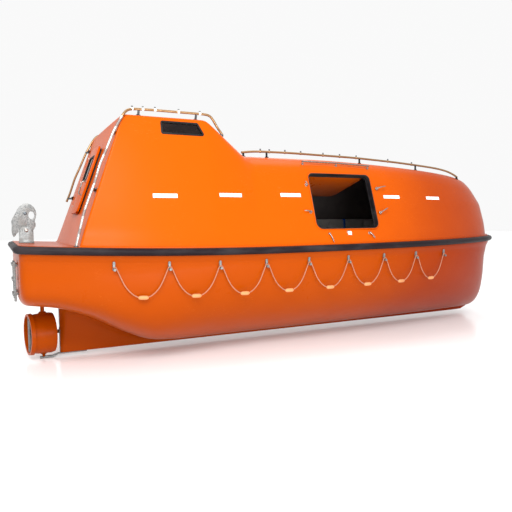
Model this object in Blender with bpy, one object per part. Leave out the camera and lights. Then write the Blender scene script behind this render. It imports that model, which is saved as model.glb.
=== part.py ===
"""Totally enclosed lifeboat with a steering tower aft, side hatches and a propeller in a steering nozzle.

Lengths are in metres. The boat is drawn in station coordinates: x forward from the transom, y to port and
z up from a level 67 mm under the keel. DATUM turns them into the scene's coordinates, whose origin lies on
the centreline at the waterline. The pieces on the port side mirror the starboard ones.
"""

import math

import bmesh
import bpy
import numpy as np
from mathutils import Matrix, Vector
from mathutils.bvhtree import BVHTree

# Frame and running gaps
DATUM = Vector((3.60, 0.0, 0.60))
GAP = 0.0003  # between pieces that touch
PIN_GAP = 0.0005  # round a pin in its eye
STARBOARD, PORT = -1, 1
SIDES = {"starboard": STARBOARD, "port": PORT}

# Hull
LENGTH = 7.30  # transom to the nose of the fender
HALF_BEAM = 1.35  # centreline to the face of the fender
STERN_NARROWS = 0.23
STRAIGHT_AFT, STRAIGHT_FORE = 2.60, 3.60  # full beam between these stations
BOW_POWER, BOW_FULLNESS = 2.05, 2.7  # superellipse of the plan forward of the straight part
SHEER_LOW, SHEER_LOW_AT = 1.28, 2.90
SHEER_RISE_AFT, SHEER_RISE_FORE = 0.08, 0.04
FENDER_DEPTH, FENDER_HALF_HEIGHT = 0.056, 0.040
DECK_ABOVE_SHEER = 0.045
TOPSIDE_BELOW_SHEER, TOPSIDE_INSET = 0.12, 0.09
KEEL_LINE = 0.125  # underside of the planking amidships
TRANSOM_EDGE_RADIUS = 0.08
SECTION_STEPS = 8
# columns: station, underside of the planking, power of the section's superellipse
SECTIONS = [
    (0.00, 0.752, 4.95),
    (0.40, 0.698, 4.85),
    (0.50, 0.651, 4.65),
    (0.72, 0.567, 4.10),
    (1.05, 0.368, 3.50),
    (1.40, 0.195, 2.90),
    (1.70, 0.147, 2.45),
    (2.10, 0.125, 2.12),
    (2.60, 0.125, 2.06),
    (3.60, 0.125, 2.06),
]
# columns: height, where the stem lies at that height, fullness of the waterline's superellipse
STEM = [
    (0.125, 7.08, 3.6),
    (0.17, 7.16, 3.7),
    (0.24, 7.20, 3.4),
    (0.40, 7.205, 3.12),
    (0.60, 7.18, 2.95),
    (0.85, 7.155, 2.83),
    (1.00, 7.15, 2.81),
    (1.16, 7.185, 2.85),
    (1.23, 7.244, 2.7),
    (1.33, 7.244, 2.7),
]

# Skeg, keel bar and what they carry
KEEL_BOTTOM, KEEL_HALF_WIDTH, KEEL_BAR_AFT = 0.0673, 0.035, 0.775
# columns: station, underside of the keel bar, its top inside the hull
KEEL_BAR = [(KEEL_BAR_AFT, KEEL_BOTTOM, 0.25), (6.80, KEEL_BOTTOM, 0.25), (7.02, 0.072, 0.25), (7.14, 0.12, 0.25)]
SKEG_BOTTOM, SKEG_AFT, SKEG_EDGE = 0.0683, 0.456, 0.012
# columns: height, half thickness of the skeg forward of its taper, where it ends forward
SKEG_LEVELS = [(SKEG_BOTTOM, 0.030, 2.6), (0.215, 0.038, 2.5), (0.415, 0.055, 2.2), (0.72, 0.085, 1.5)]
SKEG_TAPER = 1.4  # length of the taper in half thicknesses
SHAFT_Z = 0.328
STOCK_X, STOCK_RADIUS = 0.267, 0.0225
BEARING_RADIUS, BEARING_THICK = 0.075, 0.014
PINTLE_RADIUS = 0.016
HEEL_HALF_WIDTH, HEEL_TOP, HEEL_THICK = 0.030, 0.045, 0.022
# columns: station, top of the heel bar, its thickness
HEEL_BAR = [
    (0.225, HEEL_TOP, HEEL_THICK),
    (0.367, HEEL_TOP, HEEL_THICK),
    (0.430, SKEG_BOTTOM - GAP, 0.012),
    (0.760, SKEG_BOTTOM - GAP, 0.012),
]
STERN_STRIP_LOW, STERN_STRIP_HIGH, STERN_STRIP_HALF, STERN_STRIP_DEEP = 0.075, 0.645, 0.011, 0.008
STERN_TUBE_RADIUS = 0.050

# Nozzle and propeller
NOZZLE_Z, NOZZLE_AFT, NOZZLE_FORE = 0.324, -0.155, 0.112  # ends of the ring, from the stock
NOZZLE_OUTER, NOZZLE_INNER, NOZZLE_SIDES = 0.24, 0.205, 28
NOZZLE_REST_DEG = 8.0
# columns: along the ring from the stock, radius; out along the outer face and back along the inner one
NOZZLE_PROFILE = [
    (NOZZLE_AFT, 0.222),
    (NOZZLE_AFT + 0.080, 0.236),
    (0.030, NOZZLE_OUTER),
    (NOZZLE_FORE - 0.030, NOZZLE_OUTER),
    (NOZZLE_FORE, 0.233),
    (NOZZLE_FORE, 0.222),
    (NOZZLE_FORE - 0.040, NOZZLE_INNER),
    (NOZZLE_AFT, NOZZLE_INNER),
]
# columns: along the ring from its aft end, radius
BAND_PROFILE = [
    (-0.016, 0.216),
    (-0.016, 0.242),
    (0.030, 0.246),
    (0.030, 0.2345),
    (-GAP, 0.2265),
    (-GAP, 0.216),
]
BOSS_RADIUS, HEEL_BOSS_RADIUS = 0.055, 0.045
PROPELLER_RADIUS, HUB_RADIUS, BLADES = 0.19, 0.042, 3
HUB_AFT, HUB_FORE, HUB_SMALL, CAP_LENGTH = -0.045, 0.060, 0.030, 0.035  # from the stock
BLADE_PHASE, BLADE_AXIS = 0.5, 0.005
# columns: radius, chord, thickness, pitch angle in degrees
BLADE_SECTIONS = [
    (0.020, 0.050, 0.014, 58),
    (0.060, 0.085, 0.012, 48),
    (0.110, 0.120, 0.009, 36),
    (0.155, 0.122, 0.007, 28),
    (PROPELLER_RADIUS - 0.006, 0.066, 0.005, 24),
]
SHAFT_RADIUS = 0.0225

# Hollow of the hull
WELL_FLOOR, WELL_HALF_WIDTH, WELL_AFT, WELL_FORE = 0.50, 0.55, 1.30, 6.00
BENCH_Z, BENCH_AFT, BENCH_FORE = 0.90, 0.72, 6.30
HULL_WALL = 0.065
BENCH_THICK = 0.025

# Canopy
CANOPY_WALL = 0.045
CANOPY_INSET = 0.10  # foot, from the face of the fender
FLANGE_OUT, FLANGE_THICK = 0.040, 0.012
AFT_FOOT, AFT_HEAD = 0.56, 1.08
TOWER_TOP, TOWER_END, SLOPE_END = 2.803, 2.037, 2.596
# columns: width, height
MAIN_HALF = [(1.175, 1.52), (1.067, 1.85), (0.950, 2.21), (0.890, 2.315), (0.792, 2.387), (0.674, 2.427), (0.34, 2.474)]
MAIN_CROWN = 2.49
MAIN_TURNS = [0.0, 0.0, 0.0, 24.1, 48.2, 72.0, 86.0]  # degrees from the side's lean to each row's outward direction
# columns: width, or None where it follows the line from the foot, and height
TOWER_HALF = [(None, 1.52), (None, 2.10), (0.935, 2.750), (0.928, 2.775), (0.912, 2.788), (0.885, 2.794), (0.45, 2.80)]
# columns: foot station, head station
TOWER_RINGS = [(AFT_FOOT, AFT_HEAD), (1.10, 1.35), (1.60, 1.65), (TOWER_END, TOWER_END)]
# columns: height at the bow, where each level of the main section meets the stem, how late it drops
BOW_LEVELS = [
    (1.571, 7.200, 1.5),
    (1.861, 7.144, 2.0),
    (2.078, 6.990, 2.2),
    (2.213, 6.852, 1.9),
    (2.275, 6.693, 1.95),
    (2.292, 6.438, 1.66),
    (2.296, 6.150, 1.2),
]
BOW_CROWN = (2.300, 5.950, 1.2)
RIM_STEM, RIM_Z = 7.244, 1.30
FLANGE_CLEAR, FOOT_BACK = 0.012, 0.035  # flange and canopy's foot behind the hull's rim at the stem
TOWER_FOOT_IN = 0.045  # the tower's side above its foot
SLOPE_LINING = 0.6  # how far the lining's slope lies aft of the outer one, in wall thicknesses
# fore hook's recess
NOTCH_HALF, NOTCH_AFT, NOTCH_WALL = 0.235, 6.46, 0.040

# Windows of the tower
# columns: station, height
SIDE_WINDOW = [(1.50, 2.605), (1.99, 2.605), (1.92, 2.735), (1.50, 2.735)]
FRONT_WINDOW_HALF, FRONT_WINDOW_LOW, FRONT_WINDOW_HIGH = 0.34, 0.13, 0.43
PANE_THICK, PANE_INSET, FRONT_PANE_DEEP = 0.008, 0.010, 0.024

# Side hatches, drawn on the flat of the canopy's side
HATCH_TOP_Y, HATCH_TOP_Z = 0.950, 2.210
SIDE_LEAN = math.atan2(0.225, 0.690)
HATCH_AFT, HATCH_FORE, HATCH_DROP = 3.38, 4.32, 0.729
COAMING_WIDTH, COAMING_OUT, COAMING_IN = 0.018, 0.012, 0.065
DOOR_OUTSIDE, DOOR_THICK, DOOR_LAP = 0.070, 0.030, 0.022
HATCH_PIN_UP, HATCH_PIN_IN, HATCH_PIN_RADIUS = 0.045, 0.096, 0.008
STARBOARD_DOOR_OPEN_DEG = 92.0
LEAF_INSET = 0.003

# Aft hatch, drawn on the raked aft face of the tower
AFT_HATCH_LOW, AFT_HATCH_HIGH, AFT_HATCH_HALF = 0.40, 1.20, 0.26
AFT_HATCH_PIN_V, AFT_HATCH_PIN_OUT = 0.330, 0.026

# Hooks; heights from the deck at the hook, stations from the hook's pin
AFT_HOOK_X, FORE_HOOK_X = 0.125, 6.78
HOOK_PIN_UP, HOOK_PIN_RADIUS, HOOK_THICK = 0.150, 0.014, 0.040
CHEEK_THICK, CHEEK_GAP = 0.014, 0.006
STAND_HALF, STAND_THICK, WEB_HALF, WEB_TOP = 0.080, 0.018, 0.060, 0.075
CHEEK = [(-0.078, 0.012), (0.078, 0.012), (0.076, 0.150), (0.048, 0.192), (-0.048, 0.192), (-0.076, 0.150)]
HOOK_HEAD = [
    (-0.134, 0.072), (-0.116, 0.088), (-0.103, 0.112), (-0.084, 0.128), (-0.079, 0.168), (-0.050, 0.112),
    (0.050, 0.112), (0.084, 0.160), (0.104, 0.196), (0.106, 0.225), (0.096, 0.252), (0.107, 0.290),
    (0.117, 0.335), (0.112, 0.375), (0.092, 0.418), (0.060, 0.448), (0.018, 0.463), (-0.015, 0.458),
    (-0.055, 0.435), (-0.085, 0.395), (-0.110, 0.345), (-0.140, 0.290), (-0.154, 0.255), (-0.150, 0.200),
    (-0.154, 0.150), (-0.150, 0.105),
]
EYE_AT, EYE_HALF, EYE_SIDES = (0.062, 0.325), (0.033, 0.045), 18

# Grab lines
LUG_FIRST, LUG_PITCH, LUG_COUNT = 0.89, 0.577, 9
LUG_BELOW_SHEER, LUG_TALL, LUG_WIDE, LUG_THICK = 0.10, 0.085, 0.026, 0.010
PEG_OUT, PEG_RADIUS = 0.030, 0.0156
ROPE_RADIUS, ROPE_SAG, ROPE_STEPS, ROPE_CURVE = 0.006, 0.31, 7, 1.8
ROPE_ARCH = 0.024  # radius of the rope's middle over a peg
ARCH_TURNS = (160, 114, 66, 20)
FLOAT_RADIUS, FLOAT_LENGTH = 0.0225, 0.11

# Rails
RAIL_RADIUS, RAIL_FOOT_RADIUS = 0.014, 0.026
# columns: station, distance from the centreline, height
TOWER_RAIL = [
    (0.704, 1.033, 1.924),
    (0.748, 1.015, 2.030),
    (0.815, 0.992, 2.237),
    (0.889, 0.976, 2.398),
    (0.974, 0.960, 2.597),
    (1.066, 0.960, 2.760),
    (1.118, 0.942, 2.828),
    (1.190, 0.915, 2.852),
    (1.400, 0.900, 2.860),
    (2.030, 0.885, 2.862),
    (2.094, 0.876, 2.855),
    (2.135, 0.868, 2.822),
    (2.204, 0.862, 2.716),
    (2.266, 0.852, 2.646),
]
# starboard rail only: its foot on the deck
TOWER_RAIL_RISER = [(0.530, 1.128, 1.3787), (0.624, 1.095, 1.732)]
TOWER_RAIL_AFT_FEET, TOWER_RAIL_TOP_FEET, TOWER_RAIL_LAST_FOOT = (0.722, 0.974), (1.26, 1.93), 2.25
# columns: station, distance from the centreline, height above the roof
ROOF_RAIL = [
    (2.625, 0.60, 0.050),
    (2.80, 0.60, 0.072),
    (3.30, 0.60, 0.075),
    (4.35, 0.60, 0.075),
    (5.08, 0.60, 0.075),
    (5.52, 0.59, 0.075),
    (5.90, 0.56, 0.075),
    (6.16, 0.53, 0.068),
    (6.32, 0.51, 0.050),
    (6.42, 0.50, 0.030),
]
ROOF_RAIL_FEET = (2.65, 2.98, 4.445, 5.475, 6.40)
# rail over each side hatch
HATCH_RAIL, HATCH_RAIL_FEET = (3.34, 3.87, 4.40), (3.36, 3.87, 4.38)
HATCH_RAIL_Y, HATCH_RAIL_OUT, HATCH_RAIL_UP = 0.85, 0.025, 0.030
HATCH_RAIL_RADIUS, HATCH_RAIL_FOOT_RADIUS = 0.010, 0.018

# Boarding ladder on the transom
LADDER_LOW, LADDER_HIGH, LADDER_LEFT, LADDER_RIGHT = 0.80, 1.22, -0.62, -0.30
STILE_FACE, STILE_BACK, STILE_WIDE = -0.045, -0.020, 0.025
RUNG_COUNT, RUNG_FIRST, RUNG_PITCH, RUNG_THICK = 3, 0.06, 0.16, 0.022

# Inside: low and high corners
ENGINE = ((1.36, -0.27), (2.16, 0.27), 1.06)
SEAT_BOX, SEAT_CUSHION, SEAT_BACK = (0.90, 1.28, 0.21, 1.72), (0.90, 1.34, 0.23, 1.80), (0.90, 0.97, 0.21, 2.10)
BENCH_TOP_AFT, BENCH_TOP_FORE, BENCH_TOP_CLEAR = 1.5, 6.0, 0.010


def clear_scene():
    for obj in list(bpy.data.objects):
        bpy.data.objects.remove(obj)


def finish(name, colour, roughness, metallic=0.0):
    """Principled material with a plain colour."""
    made = bpy.data.materials.new(name)
    made.use_nodes = True
    shader = made.node_tree.nodes["Principled BSDF"]
    shader.inputs["Base Color"].default_value = (*colour, 1.0)
    shader.inputs["Roughness"].default_value = roughness
    shader.inputs["Metallic"].default_value = metallic
    return made


def solid(name, points, faces, coat, origin=(0.0, 0.0, 0.0)):
    """Object from station points and faces, with its own origin at a station point."""
    mesh = bpy.data.meshes.new(name)
    mesh.from_pydata((np.asarray(points, float) - np.asarray(origin)).tolist(), [], faces)
    bm = bmesh.new()
    bm.from_mesh(mesh)
    bmesh.ops.remove_doubles(bm, verts=bm.verts, dist=1e-6)
    bmesh.ops.recalc_face_normals(bm, faces=bm.faces)
    bm.to_mesh(mesh)
    bm.free()
    obj = bpy.data.objects.new(name, mesh)
    bpy.context.scene.collection.objects.link(obj)
    obj.location = Vector(origin) - DATUM
    if coat:
        mesh.materials.append(coat)
    return obj


def loft(name, rings, coat, origin=(0.0, 0.0, 0.0), caps=(True, True)):
    """Solid through rings of points that run the same way round; a ring that closes to a line needs no cap."""
    rings = np.asarray(rings, float)
    count, size = rings.shape[:2]
    faces = []
    for i in range(count - 1):
        a, b = i * size, (i + 1) * size
        faces += [(a + j, a + (j + 1) % size, b + (j + 1) % size, b + j) for j in range(size)]
    if caps[0]:
        faces.append(tuple(range(size)))
    if caps[1]:
        faces.append(tuple((count - 1) * size + j for j in range(size)))
    return solid(name, rings.reshape(-1, 3), faces, coat, origin)


def box(name, low, high, coat=None, origin=(0.0, 0.0, 0.0)):
    """Block between two corners."""
    (x0, y0, z0), (x1, y1, z1) = low, high
    ring = [(y0, z0), (y1, z0), (y1, z1), (y0, z1)]
    return loft(name, [[(x, y, z) for y, z in ring] for x in (x0, x1)], coat, origin)


def across(vector):
    """Two unit vectors at right angles to a direction and to each other."""
    along = Vector(vector).normalized()
    side = along.orthogonal().normalized()
    if abs(along.z) < 0.9:
        side = along.cross(Vector((0, 0, 1))).normalized()
    return side, along.cross(side).normalized()


def rod(name, start, end, radius, coat=None, sides=12, end_radius=None, origin=(0.0, 0.0, 0.0)):
    """Round bar or cone between two points."""
    start, end = Vector(start), Vector(end)
    u, v = across(end - start)
    turns = [2 * math.pi * (k + 0.5) / sides for k in range(sides)]
    rings = [
        [tuple(centre + r * (math.cos(t) * u + math.sin(t) * v)) for t in turns]
        for centre, r in ((start, radius), (end, end_radius or radius))
    ]
    return loft(name, rings, coat, origin)


def tube(name, points, radius, coat=None, sides=8, origin=(0.0, 0.0, 0.0)):
    """Round bar along a bent path; each ring lies in the plane that halves the bend."""
    path = [Vector(p) for p in points]
    runs = [(b - a).normalized() for a, b in zip(path, path[1:])]
    headings = [runs[0]] + [(a + b).normalized() for a, b in zip(runs, runs[1:])] + [runs[-1]]
    side = across(runs[0])[0]
    rings = []
    for place, heading in zip(path, headings):
        side = (side - side.dot(heading) * heading).normalized()
        other = heading.cross(side)
        turns = [2 * math.pi * (k + 0.5) / sides for k in range(sides)]
        rings.append([tuple(place + radius * (math.cos(t) * side + math.sin(t) * other)) for t in turns])
    return loft(name, rings, coat, origin)


def plate(name, outline, place, low, high, coat=None, origin=(0.0, 0.0, 0.0)):
    """Flat outline given a thickness; place(a, b, depth) gives the station point."""
    rings = [[place(a, b, depth) for a, b in outline] for depth in (low, high)]
    return loft(name, rings, coat, origin)


def rounded(corners, steps=3):
    """Outline with round corners from rows of (a, b, radius)."""
    outline = []
    count = len(corners)
    for i, (a, b, radius) in enumerate(corners):
        here = np.array((a, b))
        before = np.array(corners[i - 1][:2]) - here
        after = np.array(corners[(i + 1) % count][:2]) - here
        before, after = before / np.linalg.norm(before), after / np.linalg.norm(after)
        if radius <= 0:
            outline.append((a, b))
            continue
        half = math.acos(float(np.clip(before @ after, -1, 1))) / 2
        centre = here + (before + after) / np.linalg.norm(before + after) * radius / math.sin(half)
        first = here + before * radius / math.tan(half) - centre
        last = here + after * radius / math.tan(half) - centre
        sweep = math.atan2(first[0] * last[1] - first[1] * last[0], first @ last)
        for k in range(steps + 1):
            t = sweep * k / steps
            turn = np.array(((math.cos(t), -math.sin(t)), (math.sin(t), math.cos(t))))
            outline.append(tuple(centre + turn @ first))
    return outline


def boolean(target, others, operation):
    """Target joined with, or cut by, each of the other objects, which then go."""
    for other in others:
        step = target.modifiers.new(operation, "BOOLEAN")
        step.operation = operation
        step.solver = "EXACT"
        step.object = other
    bpy.context.view_layer.update()
    graph = bpy.context.evaluated_depsgraph_get()
    mesh = bpy.data.meshes.new_from_object(target.evaluated_get(graph))
    target.modifiers.clear()
    target.data = mesh
    for other in others:
        bpy.data.objects.remove(other)
    return target


def joined(target, others):
    return boolean(target, others, "UNION")


def cut(target, others):
    return boolean(target, others, "DIFFERENCE")


def triangulated(obj):
    """Splits the object's faces into triangles, so that a twisted one has a single shape."""
    bm = bmesh.new()
    bm.from_mesh(obj.data)
    bmesh.ops.triangulate(bm, faces=bm.faces)
    bm.to_mesh(obj.data)
    bm.free()
    return obj


def mirrored(points, side):
    """Points drawn for the port side, moved to the named side."""
    return [(x, side * y, z) for x, y, z in points]


def tree_of(obj):
    """Search tree of an object drawn in station coordinates."""
    mesh = obj.data
    return BVHTree.FromPolygons([tuple(v.co) for v in mesh.vertices], [tuple(p.vertices) for p in mesh.polygons])


def seat(tree, start, heading):
    """First point of a surface met from a start in a direction."""
    hit = tree.ray_cast(Vector(start), Vector(heading))[0]
    return hit


# Lines of the hull


def bow_share(x, length):
    """How far a station lies along the rounded forebody, 0 to 1."""
    return min(max((x - STRAIGHT_FORE) / (length - STRAIGHT_FORE), 0.0), 1.0)


def bow_narrowing(share, fullness):
    """Superellipse that takes the full width to nothing at the stem."""
    return (1 - share**BOW_POWER) ** (1 / fullness)


def half_beam(x):
    """Face of the fender from the centreline."""
    if x < STRAIGHT_AFT:
        return HALF_BEAM - STERN_NARROWS * ((STRAIGHT_AFT - x) / STRAIGHT_AFT) ** 2.5
    return HALF_BEAM * bow_narrowing(bow_share(x, LENGTH), BOW_FULLNESS)


def sheer(x):
    """Middle line of the fender."""
    if x < SHEER_LOW_AT:
        return SHEER_LOW + SHEER_RISE_AFT * ((SHEER_LOW_AT - x) / SHEER_LOW_AT) ** 2
    return SHEER_LOW + SHEER_RISE_FORE * ((x - SHEER_LOW_AT) / (LENGTH - SHEER_LOW_AT)) ** 2


def deck(x):
    return sheer(x) + DECK_ABOVE_SHEER


def column(table, at, which):
    rows = np.array(table)
    return float(np.interp(at, rows[:, 0], rows[:, which]))


def half_section(x, inset=0.0):
    """Half section from keel to deck edge as (y, z): a superellipse, the flare and the upright band."""
    top = sheer(x) - TOPSIDE_BELOW_SHEER
    bottom = column(SECTIONS, x, 1) + inset
    power = column(SECTIONS, x, 2)
    width = half_beam(x) - TOPSIDE_INSET - inset
    rows = []
    for k in range(SECTION_STEPS + 1):
        turn = math.pi / 2 * k / SECTION_STEPS
        rise = math.cos(turn) ** (2 / power) if k < SECTION_STEPS else 0.0
        rows.append((width * math.sin(turn) ** (2 / power), top - (top - bottom) * rise))
    band = half_beam(x) - FENDER_DEPTH - inset
    rows += [(band, sheer(x) - DECK_ABOVE_SHEER - 0.01), (band, deck(x))]
    return rows


def both_sides(half):
    """Ring from the port deck edge down round the keel and up to starboard."""
    return [(x, y, z) for x, y, z in reversed(half)] + [(x, -y, z) for x, y, z in half[1:]]


def transom_corner():
    """Stations and insets of the rounded edge of the transom."""
    turns = [math.pi / 2 * k / 3 for k in range(3)]
    return [(TRANSOM_EDGE_RADIUS * (1 - math.cos(t)), TRANSOM_EDGE_RADIUS * (1 - math.sin(t))) for t in turns]


def bow_turns(count):
    """Even turns of the plan's superellipse, leaving out the straight end."""
    return [math.pi / 2 * (k + 1) / count for k in range(count)]


def forebody_point(turn, y, z, stem_x, fullness, rise):
    """Point of a waterline: y narrows and x runs to the stem as the turn goes to a right angle."""
    share = math.sin(turn) ** (2 / BOW_POWER)
    narrow = math.cos(turn) ** (2 / fullness) if turn < math.pi / 2 - 1e-9 else 0.0
    x = STRAIGHT_FORE + (stem_x - STRAIGHT_FORE) * share
    return (x, y * narrow, z + rise * (sheer(x) - sheer(STRAIGHT_FORE)))


def hull_rings():
    rings = []
    for x, inset in transom_corner():
        rings.append(both_sides([(x, y, z) for y, z in half_section(x, inset)]))
    for x in [TRANSOM_EDGE_RADIUS] + [row[0] for row in SECTIONS[1:]]:
        rings.append(both_sides([(x, y, z) for y, z in half_section(x)]))
    midship = half_section(STRAIGHT_FORE)
    for turn in bow_turns(9):
        half = []
        for y, z in midship:
            rise = min(max((z - KEEL_LINE) / (SHEER_LOW - KEEL_LINE), 0.0), 1.0)
            half.append(forebody_point(turn, y, z, column(STEM, z, 1), column(STEM, z, 2), rise))
        rings.append(both_sides(half))
    return rings


def hull_skin(up):
    """Plain outer form of the hull as a cutter, moved up by a small distance."""
    skin = loft("hull_skin", hull_rings(), None, caps=(True, False))
    skin.location.z += up
    return skin


def rim(side):
    """Upper edge of the hull from the middle of the transom to the stem, with its outward direction."""
    half = [(0.0, 0.0)]
    for x, inset in transom_corner():
        half.append((x, half_beam(x) - FENDER_DEPTH - inset))
    for x in [TRANSOM_EDGE_RADIUS] + [row[0] for row in SECTIONS[1:]]:
        half.append((x, half_beam(x) - FENDER_DEPTH))
    band = half_beam(STRAIGHT_FORE) - FENDER_DEPTH
    for turn in bow_turns(9):
        x, y, _ = forebody_point(turn, band, RIM_Z, RIM_STEM, BOW_FULLNESS, 1.0)
        half.append((x, y))
    places = np.array(half)
    runs = np.diff(places, axis=0)
    runs /= np.linalg.norm(runs, axis=1)[:, None]
    outward = np.column_stack((-runs[:, 1], runs[:, 0]))
    normals = np.vstack((outward[:1], outward[:-1] + outward[1:], [(1.0, 0.0)]))
    normals[0] = (-1.0, 0.0)
    normals /= np.linalg.norm(normals, axis=1)[:, None]
    return [(x, side * y, nx, side * ny) for (x, y), (nx, ny) in zip(places, normals)]


def plan_outline(inset, aft, fore, steps=10):
    """Closed outline in plan, inset from the fender's face between two stations."""
    stations = np.linspace(aft, fore, steps)
    port = [(x, half_beam(x) - inset) for x in stations]
    return port + [(x, -y) for x, y in reversed(port)]


def make_hull(coat):
    """Hull with skeg, keel bar, lugs and the hollow under the canopy."""
    hull = loft("hull", hull_rings(), coat, caps=(True, False))
    rings = []
    for z, half, fore in SKEG_LEVELS:
        outline = [(SKEG_AFT, SKEG_EDGE), (SKEG_AFT + SKEG_TAPER * half, half), (fore, half)]
        rings.append([(x, y, z) for x, y in outline] + [(x, -y, z) for x, y in reversed(outline)])
    skeg = loft("skeg", rings, None)
    keel_rings, half = [], KEEL_HALF_WIDTH
    for x, low, high in KEEL_BAR:
        keel_rings.append([(x, -half, low), (x, half, low), (x, half, high), (x, -half, high)])
    keel = loft("keel", keel_rings, None)
    hull = joined(hull, [skeg, keel])
    well = plan_rounded_prism("well", WELL_AFT, WELL_FORE, WELL_HALF_WIDTH, WELL_FLOOR, 1.6)
    outline = plan_outline(FENDER_DEPTH + TOPSIDE_INSET / 2 + HULL_WALL, BENCH_AFT, BENCH_FORE)
    upper = loft("upper", [[(x, y, z) for x, y in outline] for z in (BENCH_Z, 1.6)], None)
    hull = cut(hull, [well, upper])
    tree = tree_of(hull)
    lugs = []
    for side in SIDES.values():
        for place in lug_places(tree, side):
            lugs += lug_solids(place, side)
    return joined(hull, lugs)


def plan_rounded_prism(name, aft, fore, half, low, high):
    """Upright block with chamfered forward corners."""
    outline = rounded([(aft, -half, 0.05), (fore, -half * 0.7, 0.2), (fore, half * 0.7, 0.2), (aft, half, 0.05)], 2)
    return loft(name, [[(x, y, z) for x, y in outline] for z in (low, high)], None)


# Lugs and grab lines


def lug_places(tree, side):
    """Points on the topside at the top of each lug, and at its bottom."""
    places = []
    for k in range(LUG_COUNT):
        x = LUG_FIRST + LUG_PITCH * k
        top = sheer(x) - LUG_BELOW_SHEER
        spots = [seat(tree, (x, side * 2.0, z), (0, -side, 0)) for z in (top, top - LUG_TALL)]
        places.append((x, [abs(spot.y) for spot in spots], top))
    return places


def lug_solids(place, side):
    """Strap on the topside with a nub under the rope."""
    x, (upper_y, lower_y), top = place
    face = max(upper_y, lower_y) + LUG_THICK
    half = LUG_WIDE / 2
    bottom = top - LUG_TALL
    inside = min(upper_y, lower_y) - 0.02
    low_y, high_y = sorted((side * inside, side * face))
    strap = box("strap", (x - half, low_y, bottom), (x + half, high_y, top))
    peg = rod("peg", (x, side * inside, bottom), (x, side * (face + PEG_OUT), bottom), PEG_RADIUS, sides=14)
    return [strap, peg]


def rope_route(tree, side):
    """Grab line over the pegs, hanging in an even chain curve between each pair of them."""
    arches = []
    for x, (upper_y, lower_y), top in lug_places(tree, side):
        y = side * (max(upper_y, lower_y) + LUG_THICK + ROPE_RADIUS + 0.003)
        turns = [math.radians(t) for t in ARCH_TURNS]
        middle = top - LUG_TALL
        arches.append([Vector((x + ROPE_ARCH * math.cos(t), y, middle + ROPE_ARCH * math.sin(t))) for t in turns])
    drop = math.cosh(ROPE_CURVE) - 1
    route = arches[0][1:]
    for before, after in zip(arches, arches[1:]):
        for k in range(1, ROPE_STEPS):
            t = k / ROPE_STEPS
            spot = before[-1].lerp(after[0], t)
            spot.z -= ROPE_SAG * (1 - (math.cosh(ROPE_CURVE * (2 * t - 1)) - 1) / drop)
            skin = abs(seat(tree, (spot.x, side * 2.0, spot.z), (0, -side, 0)).y)
            clear = skin + (FLOAT_RADIUS if 0.3 < t < 0.7 else ROPE_RADIUS) + 0.004
            spot.y = side * max(abs(spot.y), clear)
            route.append(spot)
        route += after
    return route[:-1]


def make_grab_line(name, side, plain_hull, coat):
    """Rope with a float at the foot of each bight."""
    route = rope_route(plain_hull, side)
    curve = bpy.data.curves.new(name, "CURVE")
    curve.dimensions = "3D"
    curve.bevel_depth = ROPE_RADIUS
    curve.bevel_resolution = 2
    curve.use_fill_caps = True
    spline = curve.splines.new("POLY")
    spline.points.add(len(route) - 1)
    for point, place in zip(spline.points, route):
        point.co = (*place, 1.0)
    guide = bpy.data.objects.new("rope_guide", curve)
    bpy.context.scene.collection.objects.link(guide)
    bpy.context.view_layer.update()
    graph = bpy.context.evaluated_depsgraph_get()
    mesh = bpy.data.meshes.new_from_object(guide.evaluated_get(graph))
    bpy.data.objects.remove(guide)
    mesh.name = name
    bm = bmesh.new()
    bm.from_mesh(mesh)
    bmesh.ops.remove_doubles(bm, verts=bm.verts, dist=1e-5)
    bmesh.ops.recalc_face_normals(bm, faces=bm.faces)
    bm.to_mesh(mesh)
    bm.free()
    mesh.materials.clear()
    mesh.materials.append(coat)
    rope = bpy.data.objects.new(name, mesh)
    bpy.context.scene.collection.objects.link(rope)
    rope.location = -DATUM
    floats = []
    for k in range(LUG_COUNT - 1):
        first = len(ARCH_TURNS) - 2 + k * (len(ARCH_TURNS) + ROPE_STEPS - 1) + ROPE_STEPS // 2
        a, b = route[first], route[first + 1]
        middle, along = (a + b) / 2, (b - a).normalized()
        ends = [middle + along * FLOAT_LENGTH / 2 * s for s in (-1, 1)]
        floats.append(rod("float", ends[0], ends[1], FLOAT_RADIUS))
    return joined(rope, floats)


def make_fender(name, side, coat):
    """Half of the rubber fender: a D section carried round the rim from the transom to the stem."""
    depth, half = FENDER_DEPTH, FENDER_HALF_HEIGHT
    # columns: share of the depth outward, share of the half height
    section = [(0.0, -1.0), (0.5, -1.0), (0.88, -0.62), (1.0, 0.0), (0.88, 0.62), (0.5, 1.0), (0.0, 1.0)]
    rings = []
    for x, y, nx, ny in rim(side):
        if not rings or x > 7.2 and abs(y) < 1e-6:
            y = side * GAP / 2
        ring = []
        for out, up in section:
            reach = GAP + depth * out
            ring.append((x + nx * reach, y + ny * reach, sheer(max(x, 0)) + half * up))
        rings.append(ring)
    return loft(name, rings, coat)


# Canopy

def foot_rows(x, wall):
    """Flange and foot of the canopy as (y, z), or the open foot of its inner face."""
    foot, floor = half_beam(x) - CANOPY_INSET, deck(x) - 0.004
    if wall:
        inner = foot - wall
        return [(inner, floor - 0.20), (inner, floor - 0.10), (inner, floor)]
    edge = foot + FLANGE_OUT - 0.006
    top = deck(x) + FLANGE_THICK
    return [(edge, floor), (edge, top), (foot + 0.004, top + 0.004)]


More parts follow.
